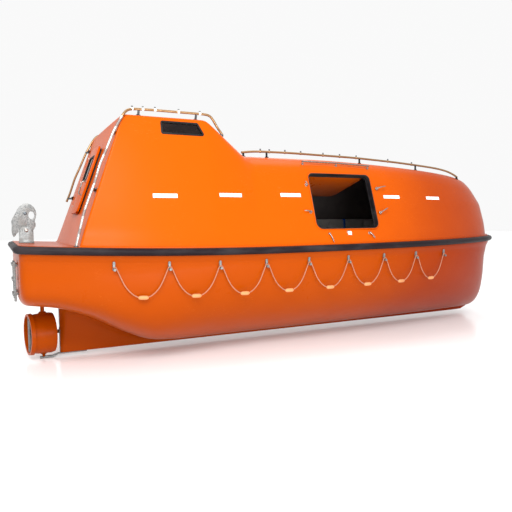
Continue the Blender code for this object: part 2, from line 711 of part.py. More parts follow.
def tower_ring(foot_x, head_x, wall):
    """Ring through the tower, raked so that it meets the foot and head stations."""
    foot = half_beam(foot_x) - CANOPY_INSET
    low_z, low_y = TOWER_HALF[0][1], foot - TOWER_FOOT_IN
    high_y, high_z = TOWER_HALF[2]
    rows = foot_rows(foot_x, wall)
    for y, z in TOWER_HALF:
        if y is None:
            y = low_y + (high_y - low_y) * (z - low_z) / (high_z - low_z)
        lowered = wall if z > 2.74 else 0.0
        rows.append((y - wall * 1.03, z - lowered * (z - 2.74) / 0.05 if z < 2.79 else z - wall))
    rows.append((0.0, TOWER_TOP - wall))
    floor = deck(foot_x)
    half = []
    for y, z in rows:
        share = max(z - floor, 0.0) / (TOWER_TOP - floor)
        half.append((foot_x + (head_x - foot_x) * share, y, z))
    return both_sides(list(reversed(half)))


def main_rows(wall):
    """Rows of the main section, moved inwards by the wall."""
    rows = []
    for (y, z), turn in zip(MAIN_HALF, MAIN_TURNS):
        angle = min(SIDE_LEAN + math.radians(turn), math.pi / 2)
        rows.append((y - wall * math.cos(angle), z - wall * math.sin(angle)))
    return rows


def main_ring(x, wall):
    rows = foot_rows(x, wall) + main_rows(wall) + [(0.0, MAIN_CROWN - wall)]
    shrink = half_beam(x) / HALF_BEAM
    half = [(x, y if k < 3 else y * shrink, z) for k, (y, z) in enumerate(rows)]
    return both_sides(list(reversed(half)))


def bow_ring(turn, wall):
    """Ring of the forebody: each level runs to its own place on the stem and drops to its height there."""
    half = []
    for k, (y, z) in enumerate(foot_rows(STRAIGHT_FORE, wall)):
        reach = RIM_STEM - FLANGE_CLEAR - (0.0 if k < 2 and not wall else FOOT_BACK) - wall
        half.append(forebody_point(turn, y, z, reach, BOW_FULLNESS, 1.0))
    levels = list(zip(main_rows(wall), BOW_LEVELS)) + [((0.0, MAIN_CROWN - wall), BOW_CROWN)]
    for (y, z), (bow_z, stem_x, late) in levels:
        steep = min(max((stem_x - 5.95) / 1.1, 0.0), 1.0)
        low = bow_z - wall * (1 - steep)
        x, y, _ = forebody_point(turn, y, z, stem_x - wall * steep, BOW_FULLNESS, 0.0)
        share = math.sin(turn) ** (2 / BOW_POWER)
        half.append((x, y, z + (low - z) * share**late))
    return both_sides(list(reversed(half)))


def canopy_rings(wall):
    back = AFT_FOOT + wall, AFT_HEAD + wall
    rings = [tower_ring(*(back if wall else TOWER_RINGS[0]), wall)]
    rings += [tower_ring(foot, head, wall) for foot, head in TOWER_RINGS[1:-1]]
    tower_end, slope_end = TOWER_END - wall * SLOPE_LINING, SLOPE_END - wall * SLOPE_LINING
    rings.append(tower_ring(tower_end, tower_end, wall))
    rings += [main_ring(x, wall) for x in (slope_end, 3.1, STRAIGHT_FORE)]
    rings += [bow_ring(turn, wall) for turn in bow_turns(9)]
    return rings


def side_point(x, down, inward, side):
    """Point on the flat side of the canopy: along, down the slope from the hatch's top edge, and inwards."""
    lean = SIDE_LEAN
    y = HATCH_TOP_Y + down * math.sin(lean) - inward * math.cos(lean)
    z = HATCH_TOP_Z - down * math.cos(lean) - inward * math.sin(lean)
    return (x, side * y, z)


def hatch_outline(grow):
    """Outline of a side hatch as (station, distance down the slope), grown all round."""
    aft, fore, top, bottom = HATCH_AFT - grow, HATCH_FORE + grow, -grow, HATCH_DROP + grow
    low, high = 0.08 + grow, 0.06 + grow
    return rounded([(aft, top, high), (aft, bottom, low), (fore, bottom, low), (fore, top, high)])


def side_prism(name, outline, side, inward_low, inward_high, coat=None, origin=(0.0, 0.0, 0.0)):
    return plate(name, outline, lambda a, b, d: side_point(a, b, d, side), inward_low, inward_high, coat, origin)


RAKE = math.atan2(AFT_HEAD - AFT_FOOT, TOWER_TOP - deck(AFT_FOOT))


def aft_point(v, up, out):
    """Point on the raked aft face: to port, up the face from its foot, and outwards."""
    x = AFT_FOOT + up * math.sin(RAKE) - out * math.cos(RAKE)
    z = deck(AFT_FOOT) + up * math.cos(RAKE) + out * math.sin(RAKE)
    return (x, v, z)


def aft_outline(grow):
    half, low, high, corner = AFT_HATCH_HALF + grow, AFT_HATCH_LOW - grow, AFT_HATCH_HIGH + grow, 0.05 + grow
    return rounded([(-half, low, corner), (half, low, corner), (half, high, corner), (-half, high, corner)], 2)


def tower_side_point(x, z, inward, side):
    """Point inside the tower's side, level with the window."""
    foot = half_beam(x) - CANOPY_INSET - TOWER_FOOT_IN
    high_y, high_z = TOWER_HALF[2]
    lean = math.atan2(foot - high_y, high_z - TOWER_HALF[0][1])
    y = foot + (high_y - foot) * (z - TOWER_HALF[0][1]) / (high_z - TOWER_HALF[0][1])
    return (x, side * (y - inward * math.cos(lean)), z - inward * math.sin(lean))


def window_placer(side):
    return lambda x, z, inward: tower_side_point(x, z, inward, side)


FRONT_SLOPE = math.atan2(TOWER_TOP - MAIN_CROWN, SLOPE_END - TOWER_END)


def front_point(v, down, out):
    """Point on the tower's front slope: to port, down the slope from the roof's edge, and outwards."""
    x = TOWER_END + down * math.cos(FRONT_SLOPE) + out * math.sin(FRONT_SLOPE)
    z = TOWER_TOP - down * math.sin(FRONT_SLOPE) + out * math.cos(FRONT_SLOPE)
    return (x, v, z)


def make_canopy(coat):
    """Hollow canopy with the tower, its hatches and windows cut, and the recess of the fore hook."""
    canopy = loft("canopy", canopy_rings(0.0), coat, caps=(True, False))
    lining = loft("lining", canopy_rings(CANOPY_WALL), None, caps=(True, False))
    canopy = cut(canopy, [lining, hull_skin(GAP)])
    shell = loft("recess_shell", canopy_rings(0.004), None, caps=(True, False))
    outer = NOTCH_HALF + NOTCH_WALL
    keep = box("keep", (NOTCH_AFT - NOTCH_WALL, -outer, deck(6.8) + 0.004), (7.6, outer, 2.6))
    recess = boolean(shell, [keep], "INTERSECT")
    canopy = joined(canopy, [cut(recess, [hull_skin(GAP)])])
    canopy = cut(canopy, [box("recess_way", (NOTCH_AFT, -NOTCH_HALF, 1.0), (7.8, NOTCH_HALF, 2.8))])
    cutters = [side_prism("way", hatch_outline(COAMING_WIDTH + GAP), s, -0.1, 0.25) for s in SIDES.values()]
    cutters.append(plate("aft_way", aft_outline(0.0), aft_point, -0.12, 0.12))
    for side in SIDES.values():
        cutters.append(plate("pane_way", SIDE_WINDOW, window_placer(side), -0.05, 0.12))
    front = [(-FRONT_WINDOW_HALF, FRONT_WINDOW_LOW), (FRONT_WINDOW_HALF, FRONT_WINDOW_LOW)]
    front += [(FRONT_WINDOW_HALF, FRONT_WINDOW_HIGH), (-FRONT_WINDOW_HALF, FRONT_WINDOW_HIGH)]
    cutters.append(plate("front_way", front, front_point, -0.12, 0.08))
    return cut(canopy, cutters)


def shrunk(outline, by):
    """Outline drawn in towards its middle by a small distance."""
    points = np.array(outline)
    low, high = points.min(axis=0), points.max(axis=0)
    middle, half = (low + high) / 2, (high - low) / 2
    return [tuple(p) for p in middle + (points - middle) * (half - by) / half]


def make_panes(coat):
    for name, side in SIDES.items():
        outline = shrunk(SIDE_WINDOW, GAP)
        plate(f"tower_window_{name}", outline, window_placer(side), PANE_INSET, PANE_INSET + PANE_THICK, coat)
    half, low, high = FRONT_WINDOW_HALF - GAP, FRONT_WINDOW_LOW + GAP, FRONT_WINDOW_HIGH - GAP
    outline = [(-half, low), (half, low), (half, high), (-half, high)]
    plate("tower_window_front", outline, front_point, -FRONT_PANE_DEEP, PANE_THICK - FRONT_PANE_DEEP, coat)


# Side hatches


def hatch_pin(side):
    return side_point(0.0, -HATCH_PIN_UP, HATCH_PIN_IN, side)


def make_side_hatch(name, side, coats):
    """Coaming in the canopy's wall, door inside it, and the pin the door hangs on."""
    ring = side_prism(
        f"hatch_coaming_{name}", hatch_outline(COAMING_WIDTH), side, -COAMING_OUT, COAMING_IN, coats["trim"]
    )
    cut(ring, [side_prism("way", hatch_outline(0.0), side, -0.1, 0.2)])

    pin = hatch_pin(side)
    lengths = [(HATCH_AFT + 0.10, HATCH_AFT + 0.22), (HATCH_FORE - 0.22, HATCH_FORE - 0.10)]
    door = side_prism(
        f"hatch_door_{name}", hatch_outline(DOOR_LAP), side, DOOR_OUTSIDE, DOOR_OUTSIDE + DOOR_THICK, coats["hull"]
    )
    parts, bores = [], []
    for low, high in lengths:
        parts.append(rod("knuckle", (low, *pin[1:]), (high, *pin[1:]), 0.016, sides=16))
        a, b = low + LEAF_INSET, high - LEAF_INSET
        reach = [(a, -HATCH_PIN_UP), (b, -HATCH_PIN_UP), (b, 0.02), (a, 0.02)]
        parts.append(side_prism("leaf", reach, side, HATCH_PIN_IN - 0.006, HATCH_PIN_IN + 0.006))
        bore = (HATCH_PIN_RADIUS + PIN_GAP) / math.cos(math.pi / 16)
        bores.append(rod("bore", (low - 0.01, *pin[1:]), (high + 0.01, *pin[1:]), bore, sides=16))
    door = cut(joined(door, parts), bores)

    hinge = rod(
        f"hatch_hinge_{name}", (HATCH_AFT + 0.06, *pin[1:]), (HATCH_FORE - 0.06, *pin[1:]), HATCH_PIN_RADIUS,
        coats["steel"], sides=16,
    )
    brackets = []
    for middle in (HATCH_AFT + 0.075, (HATCH_AFT + HATCH_FORE) / 2, HATCH_FORE - 0.075):
        reach = [(middle - 0.012, -HATCH_PIN_UP - 0.012), (middle + 0.012, -HATCH_PIN_UP - 0.012)]
        reach += [(middle + 0.012, -HATCH_PIN_UP + 0.012), (middle - 0.012, -HATCH_PIN_UP + 0.012)]
        brackets.append(side_prism("bracket", reach, side, CANOPY_WALL / 2, HATCH_PIN_IN + 0.012))
    cut(joined(hinge, brackets), [wall_inside()])
    origin = Vector((HATCH_AFT, pin[1], pin[2]))
    return door, origin


def wall_inside():
    """Canopy's wall as a cutter, grown inwards by the gap, for what is seated on its inner face."""
    wall = loft("wall", canopy_rings(-0.05), None, caps=(True, False))
    return cut(wall, [loft("room", canopy_rings(CANOPY_WALL + GAP), None, caps=(True, False))])


def skin_outside():
    """Canopy's outer form as a cutter, grown by the gap, for what is seated on it."""
    return loft("skin", canopy_rings(-2 * GAP), None, caps=(True, False))


def set_origin(obj, origin):
    """Moves the object's own origin to a station point, its shape staying where it is."""
    shift = Vector(origin) - DATUM - obj.location
    obj.data.transform(Matrix.Translation(-shift))
    obj.location = obj.location + shift


def turn_about(obj, origin, axis, degrees):
    """Rest turn of a moving piece about its joint."""
    set_origin(obj, origin)
    obj.rotation_mode = "AXIS_ANGLE"
    obj.rotation_axis_angle = (math.radians(degrees), *Vector(axis).normalized())


# Aft hatch


def make_aft_hatch(coats):
    frame = plate("aft_hatch_frame", aft_outline(-GAP), aft_point, -0.060, 0.010, coats["trim"])
    cut(frame, [plate("way", aft_outline(-0.018), aft_point, -0.1, 0.1)])

    door = plate("aft_hatch", aft_outline(0.022), aft_point, 0.016, 0.040, coats["hull"])
    window = rounded([(-0.16, 0.80, 0.03), (0.16, 0.80, 0.03), (0.16, 1.10, 0.03), (-0.16, 1.10, 0.03)], 2)
    cut(door, [plate("way", window, aft_point, -0.05, 0.1)])
    plate("aft_hatch_window", shrunk(window, GAP), aft_point, 0.024, 0.032, coats["glass"])
    parts, bores, brackets = [], [], []
    pin_v, pin_out = AFT_HATCH_PIN_V, AFT_HATCH_PIN_OUT
    for low, high in ((0.50, 0.60), (1.00, 1.10)):
        start, end = aft_point(pin_v, low, pin_out), aft_point(pin_v, high, pin_out)
        parts.append(rod("knuckle", start, end, 0.016, sides=16))
        a, b = low + LEAF_INSET, high - LEAF_INSET
        leaf = [(0.25, a), (pin_v, a), (pin_v, b), (0.25, b)]
        parts.append(plate("leaf", leaf, aft_point, 0.022, 0.034))
        bore = (HATCH_PIN_RADIUS + PIN_GAP) / math.cos(math.pi / 16)
        start, end = aft_point(pin_v, low - 0.01, pin_out), aft_point(pin_v, high + 0.01, pin_out)
        bores.append(rod("bore", start, end, bore, sides=16))
    cut(joined(door, parts), bores)
    hinge = rod(
        "aft_hatch_hinge", aft_point(pin_v, 0.46, pin_out), aft_point(pin_v, 1.14, pin_out), HATCH_PIN_RADIUS,
        coats["steel"], sides=16,
    )
    for middle in (0.475, 0.80, 1.125):
        reach = [(pin_v - 0.012, middle - 0.012), (pin_v + 0.012, middle - 0.012)]
        reach += [(pin_v + 0.012, middle + 0.012), (pin_v - 0.012, middle + 0.012)]
        brackets.append(plate("bracket", reach, aft_point, GAP + 0.0005, pin_out + 0.012))
    joined(hinge, brackets)
    return door


# Hooks


def bore_radius(radius):
    """Radius of a sixteen-sided bore whose flats stand clear of a round pin."""
    return (radius + PIN_GAP) / math.cos(math.pi / 16)


def make_hook(name, x, hull_tree, coats):
    """Release hook on its stand: cheeks with a pin, and a head with an eye that turns on it."""
    floor = seat(hull_tree, (x, 0, 3.0), (0, 0, -1)).z
    pin_z = floor + HOOK_PIN_UP

    def place(a, b, d):
        return (x + a, d, floor + b)

    inner = HOOK_THICK / 2 + CHEEK_GAP
    outer = inner + CHEEK_THICK
    half = STAND_HALF
    rings = []
    for along in (-half, -0.03, 0.03, half):
        low = seat(hull_tree, (x + along, 0, 3.0), (0, 0, -1)).z + 2 * GAP
        ring = [(-half, low), (half, low), (half, floor + STAND_THICK), (-half, floor + STAND_THICK)]
        rings.append([(x + along, y, z) for y, z in ring])
    base = loft(f"{name}_stand", rings, coats["galvanised"])
    parts = []
    for side in SIDES.values():
        low, high = sorted((side * inner, side * outer))
        parts.append(plate("cheek", CHEEK, place, low, high))
    parts.append(box("web", (x - WEB_HALF, 0.002 - outer, floor + 0.014), (x + WEB_HALF, outer - 0.002, floor + WEB_TOP)))
    parts.append(rod("pin", (x, 0.001 - outer, pin_z), (x, outer - 0.001, pin_z), HOOK_PIN_RADIUS, sides=16))
    joined(base, parts)
    hook = plate(f"{name}", HOOK_HEAD, place, -HOOK_THICK / 2, HOOK_THICK / 2, coats["galvanised"])
    eye = []
    for k in range(EYE_SIDES):
        t = 2 * math.pi * k / EYE_SIDES
        eye.append((EYE_AT[0] + EYE_HALF[0] * math.cos(t), EYE_AT[1] + EYE_HALF[1] * math.sin(t)))
    bore = rod("bore", (x, -0.05, pin_z), (x, 0.05, pin_z), bore_radius(HOOK_PIN_RADIUS), sides=16)
    cut(hook, [bore, plate("eye", eye, place, -0.05, 0.05)])
    set_origin(hook, (x, 0.0, pin_z))


# Stern gear


def about_stock(name, profile, along, coat):
    """Closed ring round the nozzle's axis from a profile of distances along it and radii."""
    rings = []
    for k in range(NOZZLE_SIDES):
        t = 2 * math.pi * k / NOZZLE_SIDES
        rings.append([(STOCK_X + along + a, r * math.cos(t), NOZZLE_Z + r * math.sin(t)) for a, r in profile])
    rings.append(rings[0])
    return loft(name, rings, coat, caps=(False, False))


def make_nozzle(coats):
    """Nozzle ring with its stock and pintle, turned to its rest angle about the stock, and the band at its aft end."""
    nozzle = about_stock("steering_nozzle", NOZZLE_PROFILE, 0.0, coats["hull"])
    top, bottom = NOZZLE_Z + NOZZLE_OUTER, NOZZLE_Z - NOZZLE_OUTER
    parts = []
    # columns: from height, to height, radius there, radius here
    for low, high, radius, end_radius in (
        (top - 0.012, counter_z() - 0.004, STOCK_RADIUS, STOCK_RADIUS),
        (top - 0.010, top + 0.018, BOSS_RADIUS, 0.035),
        (bottom + 0.012, HEEL_TOP - 0.018, PINTLE_RADIUS, PINTLE_RADIUS),
        (bottom + 0.010, bottom - 0.012, HEEL_BOSS_RADIUS, 0.030),
    ):
        parts.append(rod("part", (STOCK_X, 0, low), (STOCK_X, 0, high), radius, sides=16, end_radius=end_radius))
    joined(nozzle, parts)
    band = about_stock("nozzle_band", BAND_PROFILE, NOZZLE_AFT, coats["galvanised"])
    for obj in (nozzle, band):
        turn_about(obj, (STOCK_X, 0.0, NOZZLE_Z), (0, 0, 1), NOZZLE_REST_DEG)


def counter_z():
    """Lowest height of the hull's underside over the stock's bearing."""
    return column(SECTIONS, STOCK_X + BEARING_RADIUS, 1)


def make_stock_bearing(coats):
    """Flange under the counter in which the stock turns; its top is cut to the counter's slope."""
    low = counter_z() - BEARING_THICK
    bearing = rod(
        "stock_bearing", (STOCK_X, 0, low), (STOCK_X, 0, low + 0.10), BEARING_RADIUS, coats["galvanised"], sides=20
    )
    bore = rod("bore", (STOCK_X, 0, low - 0.10), (STOCK_X, 0, low + 0.20), bore_radius(STOCK_RADIUS), sides=16)
    cut(bearing, [hull_skin(-2 * GAP), bore])


def make_heel_bar(coats):
    """Bar under the skeg, cranked down to the eye of the nozzle's pintle."""
    rings, half = [], HEEL_HALF_WIDTH
    for x, z, thick in HEEL_BAR:
        rings.append([(x, -half, z - thick), (x, half, z - thick), (x, half, z), (x, -half, z)])
    bar = loft("heel_bar", rings, coats["galvanised"])
    cut(bar, [rod("bore", (STOCK_X, 0, -0.1), (STOCK_X, 0, 0.1), bore_radius(PINTLE_RADIUS), sides=16)])


def make_propeller(coats):
    """Hub, shaft and blades: each blade is a twisted grid from root to tip with a thin foil section."""
    start, end = STOCK_X + HUB_AFT, STOCK_X + HUB_FORE
    hub = rod("propeller", (start, 0, SHAFT_Z), (end, 0, SHAFT_Z), HUB_SMALL, coats["bronze"], 16, HUB_RADIUS)
    shaft = rod("shaft", (end - 0.01, 0, SHAFT_Z), (SKEG_AFT - 3 * GAP, 0, SHAFT_Z), SHAFT_RADIUS, sides=16)
    cap_end = (start - CAP_LENGTH, 0, SHAFT_Z)
    cap = rod("cap", cap_end, (start + 0.005, 0, SHAFT_Z), 0.008, sides=16, end_radius=HUB_SMALL)
    blades = []
    for blade in range(BLADES):
        turn = 2 * math.pi * blade / BLADES + BLADE_PHASE
        outward = np.array((0.0, math.cos(turn), math.sin(turn)))
        round_ = np.array((0.0, -math.sin(turn), math.cos(turn)))
        rings = []
        for radius, chord, thick, pitch in BLADE_SECTIONS:
            cp, sp = math.cos(math.radians(pitch)), math.sin(math.radians(pitch))
            middle = np.array((STOCK_X + BLADE_AXIS, 0.0, SHAFT_Z)) + radius * outward
            ring = []
            for along, over in ((-0.5, 0), (0, 0.5), (0.5, 0), (0, -0.5)):
                a, b = along * chord, over * thick
                ring.append(middle + np.array((a * sp + b * cp, 0, 0)) + (a * cp - b * sp) * round_)
            rings.append(ring)
        blades.append(loft("blade", rings, None))
    triangulated(joined(hub, [shaft, cap] + blades))
    set_origin(hub, (STOCK_X, 0.0, SHAFT_Z))


def make_stern_tube(coats):
    """Boss on the trailing edge of the skeg with the strips above and below it."""
    aft, half = SKEG_AFT - STERN_STRIP_DEEP, STERN_STRIP_HALF
    end = SKEG_AFT - GAP
    body = rod("stern_tube", (aft, 0, SHAFT_Z), (end, 0, SHAFT_Z), STERN_TUBE_RADIUS, coats["galvanised"], sides=16)
    joined(body, [box("strip", (aft, -half, STERN_STRIP_LOW), (end, half, STERN_STRIP_HIGH))])
    cut(body, [rod("bore", (aft - 0.1, 0, SHAFT_Z), (end + 0.1, 0, SHAFT_Z), bore_radius(SHAFT_RADIUS), sides=16)])


# Rails


def rail(name, path, feet, coat, radius=RAIL_RADIUS, foot_radius=RAIL_FOOT_RADIUS, floor=False):
    """Bent tube on feet; each foot runs from a point on the tube into its seat, and is then cut to lie on it."""
    body = tube(name, path, radius, coat)
    parts = []
    for top, bottom in feet:
        top, bottom = Vector(top), Vector(bottom)
        back = (top - bottom).normalized()
        parts.append(rod("post", top, bottom - back * 0.020, radius * 0.75, sides=8))
        parts.append(rod("pad", bottom + back * 0.007, bottom - back * 0.018, foot_radius, sides=10))
    cutters = [skin_outside()] + ([hull_skin(GAP)] if floor else [])
    return cut(joined(body, parts), cutters)


def on_path(path, x):
    """Point of a path at a station."""
    rows = sorted(path)
    xs = [p[0] for p in rows]
    return (x, float(np.interp(x, xs, [p[1] for p in rows])), float(np.interp(x, xs, [p[2] for p in rows])))


def make_tower_rail(name, side, tree, coat):
    """Rail up the tower's aft corner, along its roof and down the front slope; to starboard it starts on the deck."""
    riser = TOWER_RAIL_RISER if side == STARBOARD else []
    path = mirrored(riser + TOWER_RAIL, side)
    feet = []
    if riser:
        x, y, z = path[0]
        feet.append(((x, y, z + 0.05), path[0]))
    for x in TOWER_RAIL_AFT_FEET:
        top = Vector(on_path(path, x))
        feet.append((top, seat(tree, top - Vector((0, side * 0.10, 0)), (1, 0, 0))))
    for x in TOWER_RAIL_TOP_FEET:
        top = Vector(on_path(path, x))
        feet.append((top, seat(tree, top - Vector((0, side * 0.03, 0.02)), (0, 0, -1))))
    top = on_path(path, TOWER_RAIL_LAST_FOOT)
    feet.append((top, seat(tree, top, (0, 0, -1))))
    rail(f"tower_rail_{name}", path, feet, coat, floor=bool(riser))


def make_roof_rail(name, side, tree, coat):
    path = []
    for x, y, above in ROOF_RAIL:
        path.append((x, side * y, seat(tree, (x, side * y, 3.5), (0, 0, -1)).z + above))
    feet = []
    for x in ROOF_RAIL_FEET:
        top = on_path(path, x)
        feet.append((top, seat(tree, top, (0, 0, -1))))
    rail(f"roof_rail_{name}", path, feet, coat)


def make_hatch_rail(name, side, tree, coat):
    path = []
    for x in HATCH_RAIL:
        hit = seat(tree, (x, side * HATCH_RAIL_Y, 3.5), (0, 0, -1))
        path.append((x, hit.y + side * HATCH_RAIL_OUT, hit.z + HATCH_RAIL_UP))
    feet = []
    for x in HATCH_RAIL_FEET:
        spot = on_path(path, x)
        feet.append((spot, seat(tree, spot, (0, -side * 0.5, -1))))
    rail(f"hatch_rail_{name}", path, feet, coat, HATCH_RAIL_RADIUS, HATCH_RAIL_FOOT_RADIUS)


# Fittings


def make_ladder(coats):
    """Short boarding ladder on the transom."""
    low, high, left, right = LADDER_LOW, LADDER_HIGH, LADDER_LEFT, LADDER_RIGHT
    face, back, wide = STILE_FACE, STILE_BACK, STILE_WIDE
    body = box("boarding_ladder", (face, left, low), (back, left + wide, high), coats["galvanised"])
    parts = [box("stile", (face, right - wide, low), (back, right, high))]
    for k in range(RUNG_COUNT):
        z = low + RUNG_FIRST + k * RUNG_PITCH
        parts.append(box("rung", (face - 0.015, left + 0.01, z), (back - 0.005, right - 0.01, z + RUNG_THICK)))
    for y in (left, right - wide):
        for z in (low + 0.07, high - 0.05):
            parts.append(box("standoff", (back - 0.002, y, z), (-GAP, y + wide, z + wide)))
    return joined(body, parts)


def make_inside(coats):
    """Bench tops, engine block and the helm seat."""
    edge = FENDER_DEPTH + TOPSIDE_INSET / 2 + HULL_WALL + BENCH_TOP_CLEAR
    aft, fore = BENCH_TOP_AFT, BENCH_TOP_FORE
    for name, side in SIDES.items():
        outline = [(x, side * (half_beam(x) - edge)) for x in np.linspace(aft, fore, 8)]
        outline += [(fore, side * (WELL_HALF_WIDTH - 0.14)), (aft, side * (WELL_HALF_WIDTH + 0.02))]
        rings = [[(x, y, z) for x, y in outline] for z in (BENCH_Z + GAP, BENCH_Z + BENCH_THICK)]
        loft(f"bench_{name}", rings, coats["bench"])
    low, high, top = ENGINE
    box("engine", (*low, WELL_FLOOR + GAP), (*high, top), coats["dark"])
    parts, start = [], BENCH_Z + GAP
    for aft, fore, half, top in (SEAT_BOX, SEAT_CUSHION, SEAT_BACK):
        part = box("helm_seat", (aft, -half, start), (fore, half, top), None if parts else coats["bench"])
        parts.append(part)
        start = top - 0.01
    joined(parts[0], parts[1:])


def main():
    clear_scene()
    coats = {
        "hull": finish("orange", (0.95, 0.18, 0.01), 0.25),
        "trim": finish("trim", (0.05, 0.045, 0.045), 0.6),
        "rubber": finish("rubber", (0.035, 0.030, 0.035), 0.65),
        "steel": finish("steel", (0.62, 0.60, 0.57), 0.25, 1.0),
        "galvanised": finish("galvanised", (0.48, 0.49, 0.48), 0.45, 0.8),
        "bronze": finish("bronze", (0.55, 0.38, 0.16), 0.35, 1.0),
        "rope": finish("rope", (0.80, 0.45, 0.36), 0.9),
        "glass": finish("glass", (0.04, 0.03, 0.03), 0.08),
        "bench": finish("bench", (0.55, 0.56, 0.55), 0.5),
        "dark": finish("dark", (0.12, 0.13, 0.14), 0.5),
    }
    plain = loft("plain_hull", hull_rings(), None, caps=(True, False))
    plain_tree = tree_of(plain)
    bpy.data.objects.remove(plain)
    hull_tree = tree_of(make_hull(coats["hull"]))
    canopy = make_canopy(coats["hull"])
    canopy_tree = tree_of(canopy)
    make_panes(coats["glass"])
    for name, side in SIDES.items():
        make_fender(f"fender_{name}", side, coats["rubber"])
        make_grab_line(f"grab_line_{name}", side, plain_tree, coats["rope"])
        door, origin = make_side_hatch(name, side, coats)
        open_deg = STARBOARD_DOOR_OPEN_DEG if side == STARBOARD else 0.0
        turn_about(door, origin, (1, 0, 0), open_deg)
    door = make_aft_hatch(coats)
    set_origin(door, aft_point(AFT_HATCH_PIN_V, 0.0, AFT_HATCH_PIN_OUT))
    make_hook("aft_hook", AFT_HOOK_X, hull_tree, coats)
    make_hook("fore_hook", FORE_HOOK_X, hull_tree, coats)
    make_nozzle(coats)
    make_stock_bearing(coats)
    make_heel_bar(coats)
    make_propeller(coats)
    make_stern_tube(coats)
    for name, side in SIDES.items():
        make_tower_rail(name, side, canopy_tree, coats["steel"])
        make_roof_rail(name, side, canopy_tree, coats["steel"])
        make_hatch_rail(name, side, canopy_tree, coats["steel"])
    make_ladder(coats)
    make_inside(coats)


main()
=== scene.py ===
"""Looks of the totally enclosed lifeboat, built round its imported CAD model.

Lengths are in metres. Shapes are worked out in station coordinates, as in the part's source: x forward
from the transom, y to port and z up from a level 67 mm under the keel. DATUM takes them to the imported
model's frame, whose origin lies on the centreline at the waterline.
"""

import math

import bmesh
import bpy
import numpy as np
from mathutils import Matrix, Vector
from mathutils.bvhtree import BVHTree


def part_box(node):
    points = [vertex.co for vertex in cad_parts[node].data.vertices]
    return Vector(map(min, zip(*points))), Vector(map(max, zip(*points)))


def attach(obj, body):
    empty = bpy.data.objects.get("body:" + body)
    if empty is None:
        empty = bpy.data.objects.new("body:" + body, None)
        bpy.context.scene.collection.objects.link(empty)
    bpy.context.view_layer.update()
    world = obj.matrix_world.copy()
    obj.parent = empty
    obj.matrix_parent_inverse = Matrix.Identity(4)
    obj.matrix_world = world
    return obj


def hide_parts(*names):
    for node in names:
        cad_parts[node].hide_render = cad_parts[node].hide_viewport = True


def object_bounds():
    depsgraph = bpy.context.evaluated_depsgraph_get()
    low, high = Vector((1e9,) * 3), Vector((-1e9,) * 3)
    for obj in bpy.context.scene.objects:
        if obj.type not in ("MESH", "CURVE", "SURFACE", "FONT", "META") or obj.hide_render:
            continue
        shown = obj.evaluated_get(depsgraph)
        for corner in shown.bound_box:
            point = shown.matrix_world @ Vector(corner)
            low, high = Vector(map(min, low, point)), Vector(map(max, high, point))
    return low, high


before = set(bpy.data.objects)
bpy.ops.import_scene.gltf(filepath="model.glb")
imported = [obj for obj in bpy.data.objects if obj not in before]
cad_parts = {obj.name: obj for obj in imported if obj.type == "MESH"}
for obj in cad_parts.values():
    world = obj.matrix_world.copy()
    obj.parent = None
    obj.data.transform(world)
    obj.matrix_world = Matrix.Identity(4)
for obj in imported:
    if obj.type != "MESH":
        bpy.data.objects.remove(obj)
cad_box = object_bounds()

# Frame
DATUM = np.array((3.60, 0.0, 0.60))
SIDES = {"starboard": -1, "port": 1}
MIRROR = np.array((1.0, -1.0, 1.0))

# Hull lines, as in the part's source
LENGTH, HALF_BEAM, STERN_NARROWS = 7.30, 1.35, 0.23
STRAIGHT_AFT, STRAIGHT_FORE = 2.60, 3.60
BOW_POWER, BOW_FULLNESS = 2.05, 2.7
SHEER_LOW, SHEER_LOW_AT, SHEER_RISE_AFT, SHEER_RISE_FORE = 1.28, 2.90, 0.08, 0.04
FENDER_DEPTH, FENDER_HALF_HEIGHT = 0.056, 0.040
SKIN_GAP, MIDDLE_GAP = 0.0003, 0.0002  # from the fender to the hull, and to the centreline at its ends
DECK_ABOVE_SHEER = 0.045
TOPSIDE_BELOW_SHEER, TOPSIDE_INSET = 0.12, 0.09
BAND_BELOW_SHEER = 0.055  # foot of the upright band under the fender
KEEL_LINE = 0.125
TRANSOM_EDGE_RADIUS = 0.08
# columns: station, underside of the planking, power of the section's superellipse
SECTIONS = np.array([
    (0.00, 0.752, 4.95), (0.40, 0.698, 4.85), (0.50, 0.651, 4.65), (0.72, 0.567, 4.10), (1.05, 0.368, 3.50),
    (1.40, 0.195, 2.90), (1.70, 0.147, 2.45), (2.10, 0.125, 2.12), (2.60, 0.125, 2.06), (3.60, 0.125, 2.06),
])
# columns: height, where the stem lies at that height, fullness of the waterline's superellipse
STEM = np.array([
    (0.125, 7.08, 3.6), (0.17, 7.16, 3.7), (0.24, 7.20, 3.4), (0.40, 7.205, 3.12), (0.60, 7.18, 2.95),
    (0.85, 7.155, 2.83), (1.00, 7.15, 2.81), (1.16, 7.185, 2.85), (1.23, 7.244, 2.7), (1.33, 7.244, 2.7),
])
STEM_RIM = STEM[-1, 1]
# columns: height, half thickness of the skeg
SKEG_THICKNESS = np.array([(0.0683, 0.030), (0.215, 0.038), (0.415, 0.055), (0.72, 0.085)])
# columns: station, underside of the skeg and keel bar
KEEL_FOOT = np.array([
    (0.456, 0.0683), (0.77, 0.0683), (0.78, 0.0673), (6.80, 0.0673), (7.02, 0.072), (7.14, 0.12),
])
SKEG_AFT, SKEG_EDGE, SKEG_TAPER, SKEG_CHAMFER, KEEL_NOSE = 0.456, 0.012, 1.4, 0.005, 7.135
FILLET_SHARE, FILLET_LEAST, FILLET_MOST = 0.55, 0.004, 0.13

# Hollow of the hull
WELL_FLOOR, WELL_HALF_WIDTH, WELL_AFT, WELL_FORE, WELL_NARROWS = 0.50, 0.55, 1.30, 6.00, 0.7
ABOVE_DECK = 1.6
BENCH_Z, BENCH_AFT, BENCH_FORE = 0.90, 0.72, 6.30
HULL_WALL = 0.065

